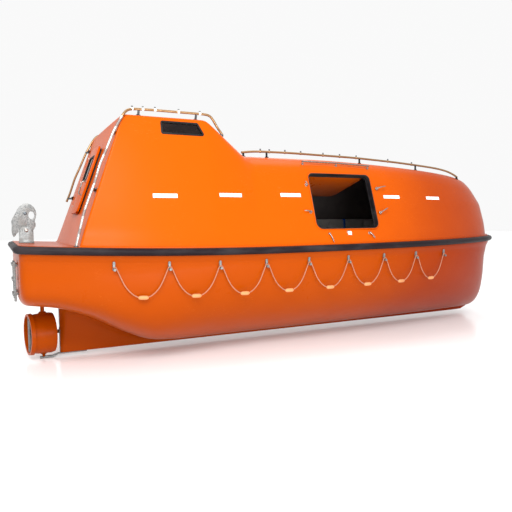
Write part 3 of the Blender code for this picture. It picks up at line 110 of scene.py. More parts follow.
# Canopy, as in the part's source
CANOPY_WALL, CANOPY_INSET, FLANGE_OUT, FLANGE_THICK = 0.045, 0.10, 0.040, 0.012
TOWER_FOOT_IN = 0.045  # how far the tower's side stands in from the canopy's foot
# columns: half width, height, how far the outward direction turns up from the side's, in degrees
MAIN_HALF = np.array([
    (1.175, 1.52, 0.0), (1.067, 1.85, 0.0), (0.950, 2.21, 0.0), (0.890, 2.315, 24.1), (0.792, 2.387, 48.2),
    (0.674, 2.427, 72.0), (0.34, 2.474, 86.0),
])
MAIN_CROWN, TOWER_TOP = 2.49, 2.803
TOWER_HEIGHTS = np.array([1.52, 2.10, 2.750, 2.775, 2.788, 2.794, 2.80])
TOWER_WIDTHS = np.array([0.935, 0.928, 0.912, 0.885, 0.45])
ROOF_STARTS, ROOF_BLEND = 2.74, 0.05  # where the wall begins to count downwards, and over what height
WALL_ACROSS, WALL_ALONG = 1.03, 0.6  # walls that the room moves in at the tower's side and aft at its slope
# columns: foot station, head station
TOWER_RAKE = np.array([(0.56, 1.08), (1.10, 1.35), (1.60, 1.65), (2.037, 2.037)])
TOWER_END, SLOPE_END = 2.037, 2.596
# columns: height at the bow, where the level meets the stem, how late it drops
BOW_LEVELS = np.array([
    (1.571, 7.200, 1.5), (1.861, 7.144, 2.0), (2.078, 6.990, 2.2), (2.213, 6.852, 1.9), (2.275, 6.693, 1.95),
    (2.292, 6.438, 1.66), (2.296, 6.150, 1.2), (2.300, 5.950, 1.2),
])
BOW_STEEP_FROM, BOW_STEEP_OVER, BOW_FOOT_IN = 5.95, 1.1, 0.035
CORNER_RADIUS = 0.028
NOTCH_HALF, NOTCH_AFT, NOTCH_WALL, NOTCH_FLOOR_AT = 0.235, 6.46, 0.040, 6.8

# Side hatches and tower openings
HATCH_TOP_Y, HATCH_TOP_Z = 0.950, 2.210
SIDE_LEAN = math.atan2(0.225, 0.690)
HATCH_AFT, HATCH_FORE, HATCH_DROP, HATCH_WAY_GROWS = 3.38, 4.32, 0.729, 0.018
HATCH_LOW_CORNER, HATCH_HIGH_CORNER, AFT_HATCH_CORNER = 0.08, 0.06, 0.05
SIDE_WINDOW_CORNER, FRONT_WINDOW_CORNER = 0.014, 0.02
AFT_FOOT, AFT_HEAD = 0.56, 1.08
AFT_HATCH_HALF, AFT_HATCH_LOW, AFT_HATCH_HIGH = 0.26, 0.40, 1.20
SIDE_WINDOW = [(1.50, 2.605), (1.99, 2.605), (1.92, 2.735), (1.50, 2.735)]
FRONT_WINDOW_HALF, FRONT_WINDOW_LOW, FRONT_WINDOW_HIGH = 0.34, 0.13, 0.43

# Grab lines
LUG_FIRST, LUG_PITCH, LUG_COUNT = 0.89, 0.577, 9
LUG_BELOW_SHEER, LUG_TALL, LUG_WIDE, LUG_THICK = 0.10, 0.085, 0.026, 0.010
LUG_CORNER, LUG_TOE, LUG_ROOT, LUG_BOLT_DOWN = 0.011, 0.012, 0.045, 0.018
ROPE_RADIUS, ROPE_SAG, ROPE_STEPS, ROPE_CURVE, ROPE_ARCH = 0.006, 0.31, 7, 1.8, 0.024
ARCH_TURNS = (160, 114, 66, 20)
FLOAT_RADIUS, FLOAT_LENGTH = 0.0225, 0.11
LAYS_A_METRE = 58


# Meshes


def grid_faces(rows, columns):
    """Quads of a grid numbered row by row, its last column joined to its first."""
    a, b = np.meshgrid(np.arange(rows - 1), np.arange(columns), indexing="ij")
    a, b, c = a * columns, b, (b + 1) % columns
    return np.stack((a + b, a + c, a + columns + c, a + columns + b), -1).reshape(-1, 4)


def surface(grid, ends=(True, True)):
    """Points, faces and texture places of a grid of points; ends are closed by one face each."""
    grid = np.asarray(grid, float)
    rows, columns = grid.shape[:2]
    quads = grid_faces(rows, columns)
    faces = quads.tolist()
    along = np.concatenate(([0.0], np.cumsum(np.linalg.norm(np.diff(grid.mean(axis=1), axis=0), axis=1))))
    a, b = quads[:, 0] // columns, quads[:, 0] % columns
    u = np.stack((along[a], along[a], along[a + 1], along[a + 1]), -1)
    v = np.stack((b, b + 1, b + 1, b), -1) / columns
    places = np.stack((u, v), -1).reshape(-1, 2)
    for closed, first in zip(ends, (0, (rows - 1) * columns)):
        if closed:
            faces.append(list(range(first, first + columns)))
            places = np.vstack((places, np.zeros((columns, 2))))
    return grid.reshape(-1, 3), faces, places


def merged(shapes):
    """Several shapes as one."""
    points, faces, places, start = [], [], [], 0
    for p, f, t in shapes:
        points.append(p)
        faces += [[i + start for i in face] for face in f]
        places.append(t)
        start += len(p)
    return np.vstack(points), faces, np.vstack(places)


def linked(name, data):
    """Object with this mesh, light or camera, in the scene."""
    obj = bpy.data.objects.new(name, data)
    bpy.context.scene.collection.objects.link(obj)
    return obj


def applied(obj):
    """The object with its modifiers made part of its mesh."""
    bpy.context.view_layer.update()
    graph = bpy.context.evaluated_depsgraph_get()
    obj.data, old = bpy.data.meshes.new_from_object(obj.evaluated_get(graph)), obj.data
    obj.modifiers.clear()
    bpy.data.meshes.remove(old)
    return obj


def raw_object(name, shape, coat):
    """Object from a shape in station coordinates, with doubles merged and faces pointing outwards."""
    points, faces, places = shape
    mesh = bpy.data.meshes.new(name)
    mesh.from_pydata((points - DATUM).tolist(), [], faces)
    layer = mesh.uv_layers.new(name="place")
    layer.data.foreach_set("uv", places.ravel())
    bm = bmesh.new()
    bm.from_mesh(mesh)
    bmesh.ops.remove_doubles(bm, verts=bm.verts, dist=1e-5)
    bmesh.ops.dissolve_degenerate(bm, edges=bm.edges, dist=1e-6)
    bmesh.ops.recalc_face_normals(bm, faces=bm.faces)
    bm.to_mesh(mesh)
    bm.free()
    mesh.materials.append(coat)
    return linked(name, mesh)


def smooth(obj, angle=35):
    """Smooth shading, with edges sharper than the angle kept crisp."""
    mesh = obj.data
    mesh.polygons.foreach_set("use_smooth", np.ones(len(mesh.polygons), bool))
    mesh.set_sharp_from_angle(angle=math.radians(angle))
    return obj


def place(obj, body, slot, *nodes):
    """The piece rides on a body and stands for CAD nodes, which are hidden; slot is not used."""
    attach(obj, body)
    if nodes:
        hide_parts(*nodes)
    return obj


def piece(name, shape, coat, body, slot, nodes=(), angle=35):
    """Finished piece from a shape."""
    obj = smooth(raw_object(name, shape, coat), angle)
    return place(obj, body, slot, *nodes)


def carve(obj, others, operation="DIFFERENCE"):
    """Cuts the others from the object, or joins them to it; cut faces keep the cutter's material."""
    for other in others:
        step = obj.modifiers.new(operation, "BOOLEAN")
        step.operation, step.solver, step.material_mode = operation, "EXACT", "TRANSFER"
        step.object = other
    applied(obj)
    for other in others:
        bpy.data.objects.remove(other)
    return obj


def softened(node, name, coat, body, slot, width=0.004, segments=2, angle=35):
    """Copy of a CAD node with its flat faces whole again and its edges rounded."""
    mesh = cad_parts[node].data.copy()
    mesh.name = name
    bm = bmesh.new()
    bm.from_mesh(mesh)
    bmesh.ops.remove_doubles(bm, verts=bm.verts, dist=2e-5)
    bmesh.ops.dissolve_limit(bm, angle_limit=math.radians(0.6), verts=bm.verts, edges=bm.edges)
    bmesh.ops.recalc_face_normals(bm, faces=bm.faces)
    bm.to_mesh(mesh)
    bm.free()
    mesh.materials.clear()
    mesh.materials.append(coat)
    obj = linked(name, mesh)
    if width:
        edge = obj.modifiers.new("edges", "BEVEL")
        edge.width, edge.segments, edge.limit_method = width, segments, "ANGLE"
        edge.angle_limit = math.radians(40)
        edge.use_clamp_overlap = True
        applied(obj)
    smooth(obj, angle)
    return place(obj, body, slot, node)


def unit(vectors):
    """Vectors over their lengths."""
    return vectors / np.linalg.norm(vectors, axis=-1, keepdims=True)


def pipe(path, radius, sides, level=(0.0, 1.0, 0.0)):
    """Round bar along a path: at each point a circle stands across the line, turned by level."""
    path = np.asarray(path, float)
    heading = unit(np.gradient(path, axis=0))
    side = unit(np.cross(heading, np.array(level, float)))
    other = np.cross(heading, side)
    turn = 2 * math.pi * np.arange(sides) / sides
    radius = np.broadcast_to(np.asarray(radius, float), (len(path),))[:, None, None]
    ring = np.cos(turn)[None, :, None] * side[:, None] + np.sin(turn)[None, :, None] * other[:, None]
    return surface(path[:, None] + radius * ring)


def eased(corners, radius, steps=6):
    """Path through corners, each rounded by a parabola that starts and ends a radius from it."""
    corners = np.asarray(corners, float)
    path = [corners[:1]]
    t = np.linspace(0, 1, steps + 1)[:, None]
    for before, here, after in zip(corners, corners[1:], corners[2:]):
        reach_in = min(radius, np.linalg.norm(before - here) * 0.48)
        reach_out = min(radius, np.linalg.norm(after - here) * 0.48)
        start, end = here + unit(before - here) * reach_in, here + unit(after - here) * reach_out
        path.append(start * (1 - t) ** 2 + 2 * here * t * (1 - t) + end * t**2)
    path.append(corners[-1:])
    return np.vstack(path)


def frame_of(direction):
    """Two unit vectors across a direction."""
    along = unit(np.asarray(direction, float))
    helper = np.array((0.0, 1.0, 0.0)) if abs(along[1]) < 0.9 else np.array((1.0, 0.0, 0.0))
    side = unit(np.cross(along, helper))
    return along, side, np.cross(along, side)


def turned(profile, start, direction, sides=24):
    """Turned form: profile rows give distance along the axis and radius; its ends close on the axis."""
    along, side, other = frame_of(direction)
    rows = np.asarray(profile, float)
    turn = 2 * math.pi * np.arange(sides) / sides
    ring = np.cos(turn)[:, None] * side + np.sin(turn)[:, None] * other
    grid = np.asarray(start, float) + rows[:, 0, None, None] * along + rows[:, 1, None, None] * ring[None]
    return surface(grid)


def rounded_outline(corners, steps=5):
    """Closed outline with round corners from rows of (a, b, radius): an arc swept between tangent points."""
    outline = []
    count = len(corners)
    for i, (a, b, radius) in enumerate(corners):
        here = np.array((a, b))
        before = unit(np.array(corners[i - 1][:2]) - here)
        after = unit(np.array(corners[(i + 1) % count][:2]) - here)
        half = math.acos(float(np.clip(before @ after, -1, 1))) / 2
        centre = here + unit(before + after) * radius / math.sin(half)
        first = here + before * radius / math.tan(half) - centre
        last = here + after * radius / math.tan(half) - centre
        sweep = math.atan2(first[0] * last[1] - first[1] * last[0], first @ last)
        t = np.linspace(0, sweep, steps + 1)
        x = centre[0] + np.cos(t) * first[0] - np.sin(t) * first[1]
        y = centre[1] + np.sin(t) * first[0] + np.cos(t) * first[1]
        outline.append(np.column_stack((x, y)))
    return np.vstack(outline)


def rounded_rectangle(low, high, radius, steps):
    """Outline of a rectangle between two corners, all four rounded alike."""
    (a, b), (c, d) = low, high
    return rounded_outline([(a, b, radius), (c, b, radius), (c, d, radius), (a, d, radius)], steps)


def outline_normals(outline):
    """Outward directions along a closed outline."""
    runs = unit(np.roll(outline, -1, axis=0) - outline)
    normals = np.column_stack((runs[:, 1], -runs[:, 0]))
    blended = unit(normals + np.roll(normals, 1, axis=0))
    area = np.sum(outline[:, 0] * np.roll(outline[:, 1], -1) - np.roll(outline[:, 0], -1) * outline[:, 1])
    return blended if area > 0 else -blended


def moulding(outline, profile, placer):
    """Closed strip round an outline: the profile's rows give distance outwards from it and depth."""
    outline = np.asarray(outline, float)
    normals = outline_normals(outline)
    rows = np.asarray(profile, float)
    spots = outline[:, None] + rows[None, :, 0, None] * normals[:, None]
    grid = placer(spots[..., 0], spots[..., 1], np.broadcast_to(rows[:, 1], spots.shape[:2]))
    grid = np.concatenate((grid, grid[:1]))
    return surface(grid, ends=(False, False))


def slab(outline, low, high, edge, placer, steps=4):
    """Plate with rounded rims: rings of the outline drawn in by the rim's arc."""
    outline = np.asarray(outline, float)
    normals = outline_normals(outline)
    turn = np.linspace(0, math.pi / 2, steps + 1)
    arc_in, arc_up = edge * (1 - np.sin(turn)), edge * (1 - np.cos(turn))
    depths = np.concatenate((low + arc_up, high - arc_up[::-1]))
    insets = np.concatenate((arc_in, arc_in[::-1]))
    spots = outline[None] - insets[:, None, None] * normals[None]
    grid = placer(spots[..., 0], spots[..., 1], np.broadcast_to(depths[:, None], spots.shape[:2]))
    return surface(grid)


def blurred(grid, times, axis, hold=0):
    """Grid with its creases rounded: each pass averages a point with its neighbours, the ends held."""
    grid = np.moveaxis(grid.copy(), axis, 0)
    stop = len(grid) - hold
    for _ in range(times):
        before, here, after = grid[hold:stop - 2], grid[hold + 1:stop - 1], grid[hold + 2:stop]
        grid[hold + 1:stop - 1] = (before + 2 * here + after) / 4
    return np.moveaxis(grid, 0, axis)


def refined(rows, counts):
    """Rows of points with straight steps added between them, as many as counts says for each gap."""
    parts = []
    for k, count in enumerate(counts):
        t = (np.arange(count) / count)[None, :, None]
        parts.append(rows[:, k:k + 1] * (1 - t) + rows[:, k + 1:k + 2] * t)
    parts.append(rows[:, -1:])
    return np.concatenate(parts, axis=1)


# Lines of the hull


def half_beam(x):
    """Face of the fender from the centreline: narrowing aft, straight amidships, a superellipse forward."""
    x = np.asarray(x, float)
    aft = HALF_BEAM - STERN_NARROWS * (np.clip(STRAIGHT_AFT - x, 0, None) / STRAIGHT_AFT) ** 2.5
    share = np.clip((x - STRAIGHT_FORE) / (LENGTH - STRAIGHT_FORE), 0, 1)
    return np.where(x < STRAIGHT_AFT, aft, HALF_BEAM * (1 - share**BOW_POWER) ** (1 / BOW_FULLNESS))


def sheer(x):
    """Height of the fender's middle: two parabolas that meet at the lowest station."""
    x = np.asarray(x, float)
    aft = SHEER_RISE_AFT * (np.clip(SHEER_LOW_AT - x, 0, None) / SHEER_LOW_AT) ** 2
    fore = SHEER_RISE_FORE * (np.clip(x - SHEER_LOW_AT, 0, None) / (LENGTH - SHEER_LOW_AT)) ** 2
    return SHEER_LOW + aft + fore


def deck(x):
    """Height of the deck, level with the top of the hull's upright band."""
    return sheer(x) + DECK_ABOVE_SHEER


def half_sections(x, inset):
    """Half sections: superellipse from the keel, then a flare and an upright band to the deck's edge."""
    x, inset = np.asarray(x, float)[:, None], np.asarray(inset, float)[:, None]
    top = sheer(x) - TOPSIDE_BELOW_SHEER
    bottom = np.interp(x, SECTIONS[:, 0], SECTIONS[:, 1]) + inset
    power = np.interp(x, SECTIONS[:, 0], SECTIONS[:, 2])
    width = half_beam(x) - TOPSIDE_INSET - inset
    turn = np.linspace(0, math.pi / 2, 37)[None]
    y = width * np.sin(turn) ** (2 / power)
    z = top - (top - bottom) * np.clip(np.cos(turn), 0, 1) ** (2 / power)
    band = half_beam(x) - FENDER_DEPTH - inset
    rise = np.linspace(0, 1, 6)[None, 1:]
    shoulder = sheer(x) - BAND_BELOW_SHEER
    y = np.hstack((y, width + (band - width) * rise, np.repeat(band, 3, axis=1)))
    upright = np.linspace(0, 1, 4)[None, 1:]
    z = np.hstack((z, top + (shoulder - top) * rise, shoulder + (deck(x) - shoulder) * upright))
    return np.stack((np.broadcast_to(x, y.shape), y, z), -1)


def forebody(turn, y, z, stem_x, fullness, rise):
    """Waterlines of the forebody: y narrows as a superellipse while x runs to the stem."""
    share = np.sin(turn) ** (2 / BOW_POWER)
    narrow = np.clip(np.cos(turn), 0, 1) ** (2 / fullness)
    x = STRAIGHT_FORE + (stem_x - STRAIGHT_FORE) * share
    return np.stack((x, y * narrow, z + rise * (sheer(x) - sheer(STRAIGHT_FORE))), -1)


def whole_rings(half):
    """Rings from the port edge round the middle to starboard, from half rings that start at the middle."""
    return np.concatenate((half[:, ::-1], half[:, 1:] * MIRROR), axis=1)


def hull_half():
    """Half rings of the hull from the rounded edge of the transom to the stem."""
    corner = np.linspace(0, math.pi / 2, 7)[:-1]
    edge = TRANSOM_EDGE_RADIUS * (1 - np.cos(corner))
    spaced = np.arange(TRANSOM_EDGE_RADIUS, STRAIGHT_FORE - 0.02, 0.04)
    stations = np.concatenate((edge, spaced, [STRAIGHT_FORE]))
    insets = np.zeros(len(stations))
    insets[:len(corner)] = TRANSOM_EDGE_RADIUS * (1 - np.sin(corner))
    aft = half_sections(stations, insets)
    midship = aft[-1]
    turn = np.linspace(0, math.pi / 2, 61)[1:, None]
    y, z = midship[None, :, 1], midship[None, :, 2]
    rise = np.clip((z - KEEL_LINE) / (SHEER_LOW - KEEL_LINE), 0, 1)
    stem_x, fullness = (np.interp(z, STEM[:, 0], STEM[:, k]) for k in (1, 2))
    half = np.concatenate((aft, forebody(turn, y, z, stem_x, fullness, rise)))
    fairing = len(aft) + 10  # the sharp lines of the bow stay as they are
    half[:fairing] = blurred(half, 8, 0, hold=len(corner))[:fairing]
    return half


def skin_y(x, z):
    """Half width of the hull at a station and height: the section's own, then narrowed by the waterline."""
    x, z = np.asarray(x, float), np.asarray(z, float)
    rise_x = np.where(x > STRAIGHT_FORE, sheer(x) - sheer(STRAIGHT_FORE), 0.0) / (SHEER_LOW - KEEL_LINE)
    level = (z + KEEL_LINE * rise_x) / (1 + rise_x)
    at = np.minimum(x, STRAIGHT_FORE)
    top = sheer(at) - TOPSIDE_BELOW_SHEER
    bottom, power = (np.interp(at, SECTIONS[:, 0], SECTIONS[:, k]) for k in (1, 2))
    depth = np.clip((top - level) / (top - bottom), 0, 1)
    width = (half_beam(at) - TOPSIDE_INSET) * (1 - depth**power) ** (1 / power)
    flare = np.clip((level - top) / (TOPSIDE_BELOW_SHEER - BAND_BELOW_SHEER), 0, 1)
    width = width + flare * (TOPSIDE_INSET - FENDER_DEPTH)
    stem_x, fullness = (np.interp(level, STEM[:, 0], STEM[:, k]) for k in (1, 2))
    share = np.clip((x - STRAIGHT_FORE) / (stem_x - STRAIGHT_FORE), 0, 1)
    turn = np.arcsin(np.clip(share ** (BOW_POWER / 2), 0, 1))
    return width * np.where(x > STRAIGHT_FORE, np.cos(turn) ** (2 / fullness), 1.0)


def rim(count_side=90, count_bow=60):
    """Upper edge of the hull from the middle of the transom to the stem: places and outward directions."""
    corner = np.linspace(0, math.pi / 2, 8)[:-1]
    r = TRANSOM_EDGE_RADIUS
    transom = np.linspace(0, float(half_beam(0)) - FENDER_DEPTH - r, 24)[:-1]
    x = [np.zeros_like(transom), r * (1 - np.cos(corner))]
    y = [transom, half_beam(r * (1 - np.cos(corner))) - FENDER_DEPTH - r * (1 - np.sin(corner))]
    stations = np.linspace(r, STRAIGHT_FORE, count_side)
    x.append(stations)
    y.append(half_beam(stations) - FENDER_DEPTH)
    turn = np.linspace(0, math.pi / 2, count_bow)[1:]
    bow = forebody(turn, HALF_BEAM - FENDER_DEPTH, sheer(STRAIGHT_FORE), STEM_RIM, BOW_FULLNESS, 1.0)
    x.append(bow[:, 0])
    y.append(bow[:, 1])
    places = np.column_stack((np.concatenate(x), np.concatenate(y)))
    runs = unit(np.gradient(places, axis=0))
    normals = np.column_stack((-runs[:, 1], runs[:, 0]))
    normals[0], normals[-1] = (-1.0, 0.0), (1.0, 0.0)
    return places, normals


# Lines of the canopy


def foot_rows(x, wall):
    """Flange and foot of the canopy, or the open foot of its inner face."""
    foot, floor = half_beam(x) - CANOPY_INSET, deck(x) - 0.004
    if wall:
        inner = foot - wall
        return np.stack((inner, inner, inner), -1), np.stack((floor - 0.20, floor - 0.10, floor), -1)
    edge, top = foot + FLANGE_OUT - 0.006, deck(x) + FLANGE_THICK
    return np.stack((edge, edge, foot + 0.004), -1), np.stack((floor, top, top + 0.004), -1)


def tower_half(foot_x, wall):
    """Half rings through the tower, raked between its foot and head stations."""
    foot_x = np.asarray(foot_x, float)
    head_x = np.interp(foot_x, TOWER_RAKE[:, 0] + wall, TOWER_RAKE[:, 1] + wall)
    foot = half_beam(foot_x) - CANOPY_INSET
    y, z = foot_rows(foot_x, wall)
    low_y = foot - TOWER_FOOT_IN
    share = (TOWER_HEIGHTS[1] - TOWER_HEIGHTS[0]) / (TOWER_HEIGHTS[2] - TOWER_HEIGHTS[0])
    middle = low_y + (TOWER_WIDTHS[0] - low_y) * share
    widths = np.broadcast_to(TOWER_WIDTHS, (len(foot_x), len(TOWER_WIDTHS)))
    side = np.column_stack((low_y, middle, widths)) - wall * WALL_ACROSS
    lowered = np.clip((TOWER_HEIGHTS - ROOF_STARTS) / ROOF_BLEND, 0, 1)
    heights = np.broadcast_to(TOWER_HEIGHTS - wall * lowered, side.shape)
    crown = np.full((len(foot_x), 1), TOWER_TOP - wall)
    y = np.hstack((y, side, np.zeros_like(crown)))
    z = np.hstack((z, heights, crown))
    floor = deck(foot_x)[:, None]
    share = np.clip(z - floor, 0, None) / (TOWER_TOP - floor)
    x = foot_x[:, None] + (head_x - foot_x)[:, None] * share
    return np.stack((x, y, z), -1)


def main_rows(wall):
    """Rows of the main section with its crown, moved inwards by the wall."""
    turn = np.minimum(SIDE_LEAN + np.radians(MAIN_HALF[:, 2]), math.pi / 2)
    moved = MAIN_HALF[:, :2] - wall * np.column_stack((np.cos(turn), np.sin(turn)))
    return np.vstack((moved, (0.0, MAIN_CROWN - wall)))


def main_half(x, wall):
    """Half rings of the main canopy: one section, its widths scaled with the hull's beam."""
    x = np.asarray(x, float)
    y, z = foot_rows(x, wall)
    rows = main_rows(wall)
    shrink = (half_beam(x) / HALF_BEAM)[:, None]
    y = np.hstack((y, rows[None, :, 0] * shrink))
    z = np.hstack((z, np.broadcast_to(rows[None, :, 1], (len(x), len(rows)))))
    return np.stack((np.broadcast_to(x[:, None], y.shape), y, z), -1)


def bow_half(turn, wall):
    """Half rings of the bow: each level runs to its own place on the stem and drops to its height there."""
    turn = np.asarray(turn, float)[:, None]
    y, z = foot_rows(np.array([STRAIGHT_FORE]), wall)
    lip = STEM_RIM - FLANGE_THICK - wall
    reach = np.array((lip, lip, lip - BOW_FOOT_IN)) if not wall else np.full(3, lip - BOW_FOOT_IN)
    foot = forebody(turn, y, z, reach[None], BOW_FULLNESS, 1.0)
    rows, levels = main_rows(wall), BOW_LEVELS
    steep = np.clip((levels[:, 1] - BOW_STEEP_FROM) / BOW_STEEP_OVER, 0, 1)
    low = levels[:, 0] - wall * (1 - steep)
    stem_x = (levels[:, 1] - wall * steep)[None]
    sides = forebody(turn, rows[None, :, 0], rows[None, :, 1], stem_x, BOW_FULLNESS, 0.0)
    share = np.sin(turn) ** (2 / BOW_POWER)
    sides[..., 2] += (low - rows[:, 1])[None] * share ** levels[None, :, 2]
    return np.concatenate((foot, sides), axis=1)


def canopy_half(wall, fine):
    """Half rings of the canopy from the tower's aft face to the bow, starting at the flange."""
    step = 0.03 if fine else 0.15
    start = AFT_FOOT + wall
    tower = tower_half(np.linspace(start, TOWER_END, int((TOWER_END - start) / step)), wall)
    if wall:
        tower[-1, :, 0] -= wall * WALL_ALONG
    count = int((STRAIGHT_FORE - SLOPE_END) / step)
    main = main_half(np.linspace(SLOPE_END - wall * WALL_ALONG, STRAIGHT_FORE, count), wall)
    t = np.linspace(0, 1, int((SLOPE_END - TOWER_END) / step) + 2)[1:-1, None, None]
    slope = tower[-1] * (1 - t) + main[0] * t
    bow = bow_half(np.linspace(0, math.pi / 2, 61 if fine else 16)[1:], wall)
    return np.concatenate((tower, slope, main, bow))


def drawn_in(half, by):
    """Half ring with every point moved inwards in its own plane."""
    heading = np.gradient(half[:, 1:], axis=0)
    normals = unit(np.column_stack((-heading[:, 1], heading[:, 0])))
    moved = half.copy()
    inward = normals * np.sign(np.sum(normals * -half[:, 1:] + (0, 1e-9), axis=1, keepdims=True))
    moved[:, 1:] += by * inward
    moved[:, 1] = np.maximum(moved[:, 1], 0.0)
    moved[-1, 1] = 0.0
    return moved


def over_crown(half):
    """Rings from the port flange over the crown to the starboard one."""
    return np.concatenate((half, half[:, -2::-1] * MIRROR), axis=1)


def canopy_outside():
    """Outer form of the canopy with its creases rounded and the tower's aft corners turned."""
    half = canopy_half(0.0, True)
    corner = np.linspace(0, math.pi / 2, 6)[:-1]
    extra = []
    for turn in corner:
        back = AFT_FOOT + CORNER_RADIUS * (1 - math.cos(turn))
        ring = tower_half(np.array([back]), 0.0)[0]
        lifted = drawn_in(ring, CORNER_RADIUS * (1 - math.sin(turn)))
        lifted[:2] = ring[:2]
        extra.append(lifted)
    half[0] = tower_half(np.array([AFT_FOOT + CORNER_RADIUS]), 0.0)[0]
    half = np.concatenate((np.stack(extra), half))
    half = refined(half, (1, 1, 8, 16, 16, 5, 5, 5, 12, 12))
    rings = blurred(over_crown(half), 4, 1, hold=2)
    return blurred(rings, 3, 0, hold=len(corner))


def canopy_inside():
    """Room in the canopy: the same lines moved in by the wall, with coarser steps."""
    return over_crown(canopy_half(CANOPY_WALL, False))


CANOPY_RINGS = canopy_outside()


def canopy_y(x, z):
    """Half width of the canopy's side, read at a height on each third ring and then between two rings."""
    side = CANOPY_RINGS[::3, 3:34]
    stations, widths = (np.stack([np.interp(z, ring[:, 2], ring[:, k]) for ring in side]) for k in (0, 1))
    before = np.clip(np.sum(stations < x, axis=0) - 1, 0, len(side) - 2)[None]
    x0, x1, y0, y1 = (np.take_along_axis(v, before + k, 0)[0] for v in (stations, widths) for k in (0, 1))
    return y0 + (y1 - y0) * (x - x0) / (x1 - x0)


# Placers on the flats that carry openings


def side_place(side):
    """Points on the flat of the canopy's side: station, distance down the slope, and depth inwards."""

    def placer(x, down, inward):
        y = HATCH_TOP_Y + down * math.sin(SIDE_LEAN) - inward * math.cos(SIDE_LEAN)
        z = HATCH_TOP_Z - down * math.cos(SIDE_LEAN) - inward * math.sin(SIDE_LEAN)
        return np.stack(np.broadcast_arrays(x, side * y, z), -1).astype(float)

    return placer


AFT_RAKE = math.atan2(AFT_HEAD - AFT_FOOT, TOWER_TOP - float(deck(AFT_FOOT)))


def aft_place(v, up, out):
    """Points on the raked aft face: to port, up the face from its foot, and outwards."""
    x = AFT_FOOT + up * math.sin(AFT_RAKE) - out * math.cos(AFT_RAKE)
    z = deck(AFT_FOOT) + up * math.cos(AFT_RAKE) + out * math.sin(AFT_RAKE)
    return np.stack(np.broadcast_arrays(x, v, z), -1).astype(float)


def window_place(side):
    """Points in the tower's side, level with the window: station, height and depth inwards."""

    def placer(x, z, inward):
        foot = half_beam(x) - CANOPY_INSET - TOWER_FOOT_IN
        rise = (TOWER_WIDTHS[0] - foot) / (TOWER_HEIGHTS[2] - TOWER_HEIGHTS[0])
        lean = np.arctan(-rise)
        y = foot + rise * (z - TOWER_HEIGHTS[0])
        return np.stack((x + 0 * y, side * (y - inward * np.cos(lean)), z - inward * np.sin(lean)), -1)

    return placer


FRONT_SLOPE = math.atan2(TOWER_TOP - MAIN_CROWN, SLOPE_END - TOWER_END)


def front_place(v, down, out):
    """Points on the tower's front slope: to port, down the slope and outwards."""
    x = TOWER_END + down * math.cos(FRONT_SLOPE) + out * math.sin(FRONT_SLOPE)
    z = TOWER_TOP - down * math.sin(FRONT_SLOPE) + out * math.cos(FRONT_SLOPE)
    return np.stack(np.broadcast_arrays(x, v, z), -1).astype(float)


def hatch_outline(grow=0.0):
    """Outline of a side hatch, station by distance down the slope, widened all round by grow."""
    aft, fore, top, bottom = HATCH_AFT - grow, HATCH_FORE + grow, -grow, HATCH_DROP + grow
    low, high = HATCH_LOW_CORNER + grow, HATCH_HIGH_CORNER + grow
    corners = [(aft, top, high), (aft, bottom, low), (fore, bottom, low), (fore, top, high)]
    return rounded_outline(corners, 6)


def aft_outline():
    """Outline of the way through the tower's aft face."""
    low, high = (-AFT_HATCH_HALF, AFT_HATCH_LOW), (AFT_HATCH_HALF, AFT_HATCH_HIGH)
    return rounded_rectangle(low, high, AFT_HATCH_CORNER, 6)


def front_outline():
    """Outline of the window in the tower's front slope."""
    low, high = (-FRONT_WINDOW_HALF, FRONT_WINDOW_LOW), (FRONT_WINDOW_HALF, FRONT_WINDOW_HIGH)
    return rounded_rectangle(low, high, FRONT_WINDOW_CORNER, 4)


def window_outline():
    """Outline of a side window of the tower, station by height."""
    return rounded_outline([(x, z, SIDE_WINDOW_CORNER) for x, z in SIDE_WINDOW], 4)


# Materials


class Wire:
    """A value in a material's nodes. Arithmetic on it adds Math nodes, and call adds any other node."""

    def __init__(self, tree, socket):
        self.tree, self.socket = tree, socket

    def call(self, kind, settings=None, inputs=None, output=0):
        node = self.tree.nodes.new(kind)
        for key, value in (settings or {}).items():
            if key == "stops":
                ramp = node.color_ramp.elements
                while len(ramp) < len(value):
                    ramp.new(1.0)
                for element, (position, colour) in zip(ramp, value):
                    element.position, element.color = position, (*colour, 1.0)
            else:
                setattr(node, key, value)
        for key, value in (inputs or {}).items():
            if isinstance(value, Wire):
                self.tree.links.new(value.socket, node.inputs[key])
            else:
                node.inputs[key].default_value = value
        return Wire(self.tree, node.outputs[output])

    def math(self, operation, *others):
        return self.call("ShaderNodeMath", {"operation": operation}, dict(enumerate((self, *others))))

    def __add__(self, other):
        return self.math("ADD", other)

    def __mul__(self, other):
        return self.math("MULTIPLY", other)

    def __sub__(self, other):
        return self.math("SUBTRACT", other)

    def __rsub__(self, other):
        return self.math("MULTIPLY", -1.0) + other

    __radd__, __rmul__ = __add__, __mul__

    def step(self, low, high):
        """0 below low, 1 above high and a smooth ramp between."""
        ends = {"Value": self, "From Min": low, "From Max": high}
        return self.call("ShaderNodeMapRange", {"interpolation_type": "SMOOTHSTEP"}, ends)

    def sine(self):
        """Sine of the value, in radians."""
        return self.math("SINE")

    def part(self, name):
        """One coordinate of a vector."""
        return self.call("ShaderNodeSeparateXYZ", {}, {"Vector": self}, "XYZ".index(name))

    def noise(self, scale, detail, stretch=(1.0, 1.0, 1.0)):
        """Clouded values, finer with the scale and drawn out along an axis by a small stretch."""
        sized = self.call("ShaderNodeMapping", {}, {"Vector": self, "Scale": stretch})
        return self.call("ShaderNodeTexNoise", {}, {"Vector": sized, "Scale": scale, "Detail": detail})

    def mix(self, low, high):
        """Colour between two, by this value."""
        ends = [(*c, 1.0) if isinstance(c, tuple) else c for c in (low, high)]
        return self.call("ShaderNodeMix", {"data_type": "RGBA"}, {0: self, 6: ends[0], 7: ends[1]}, 2)


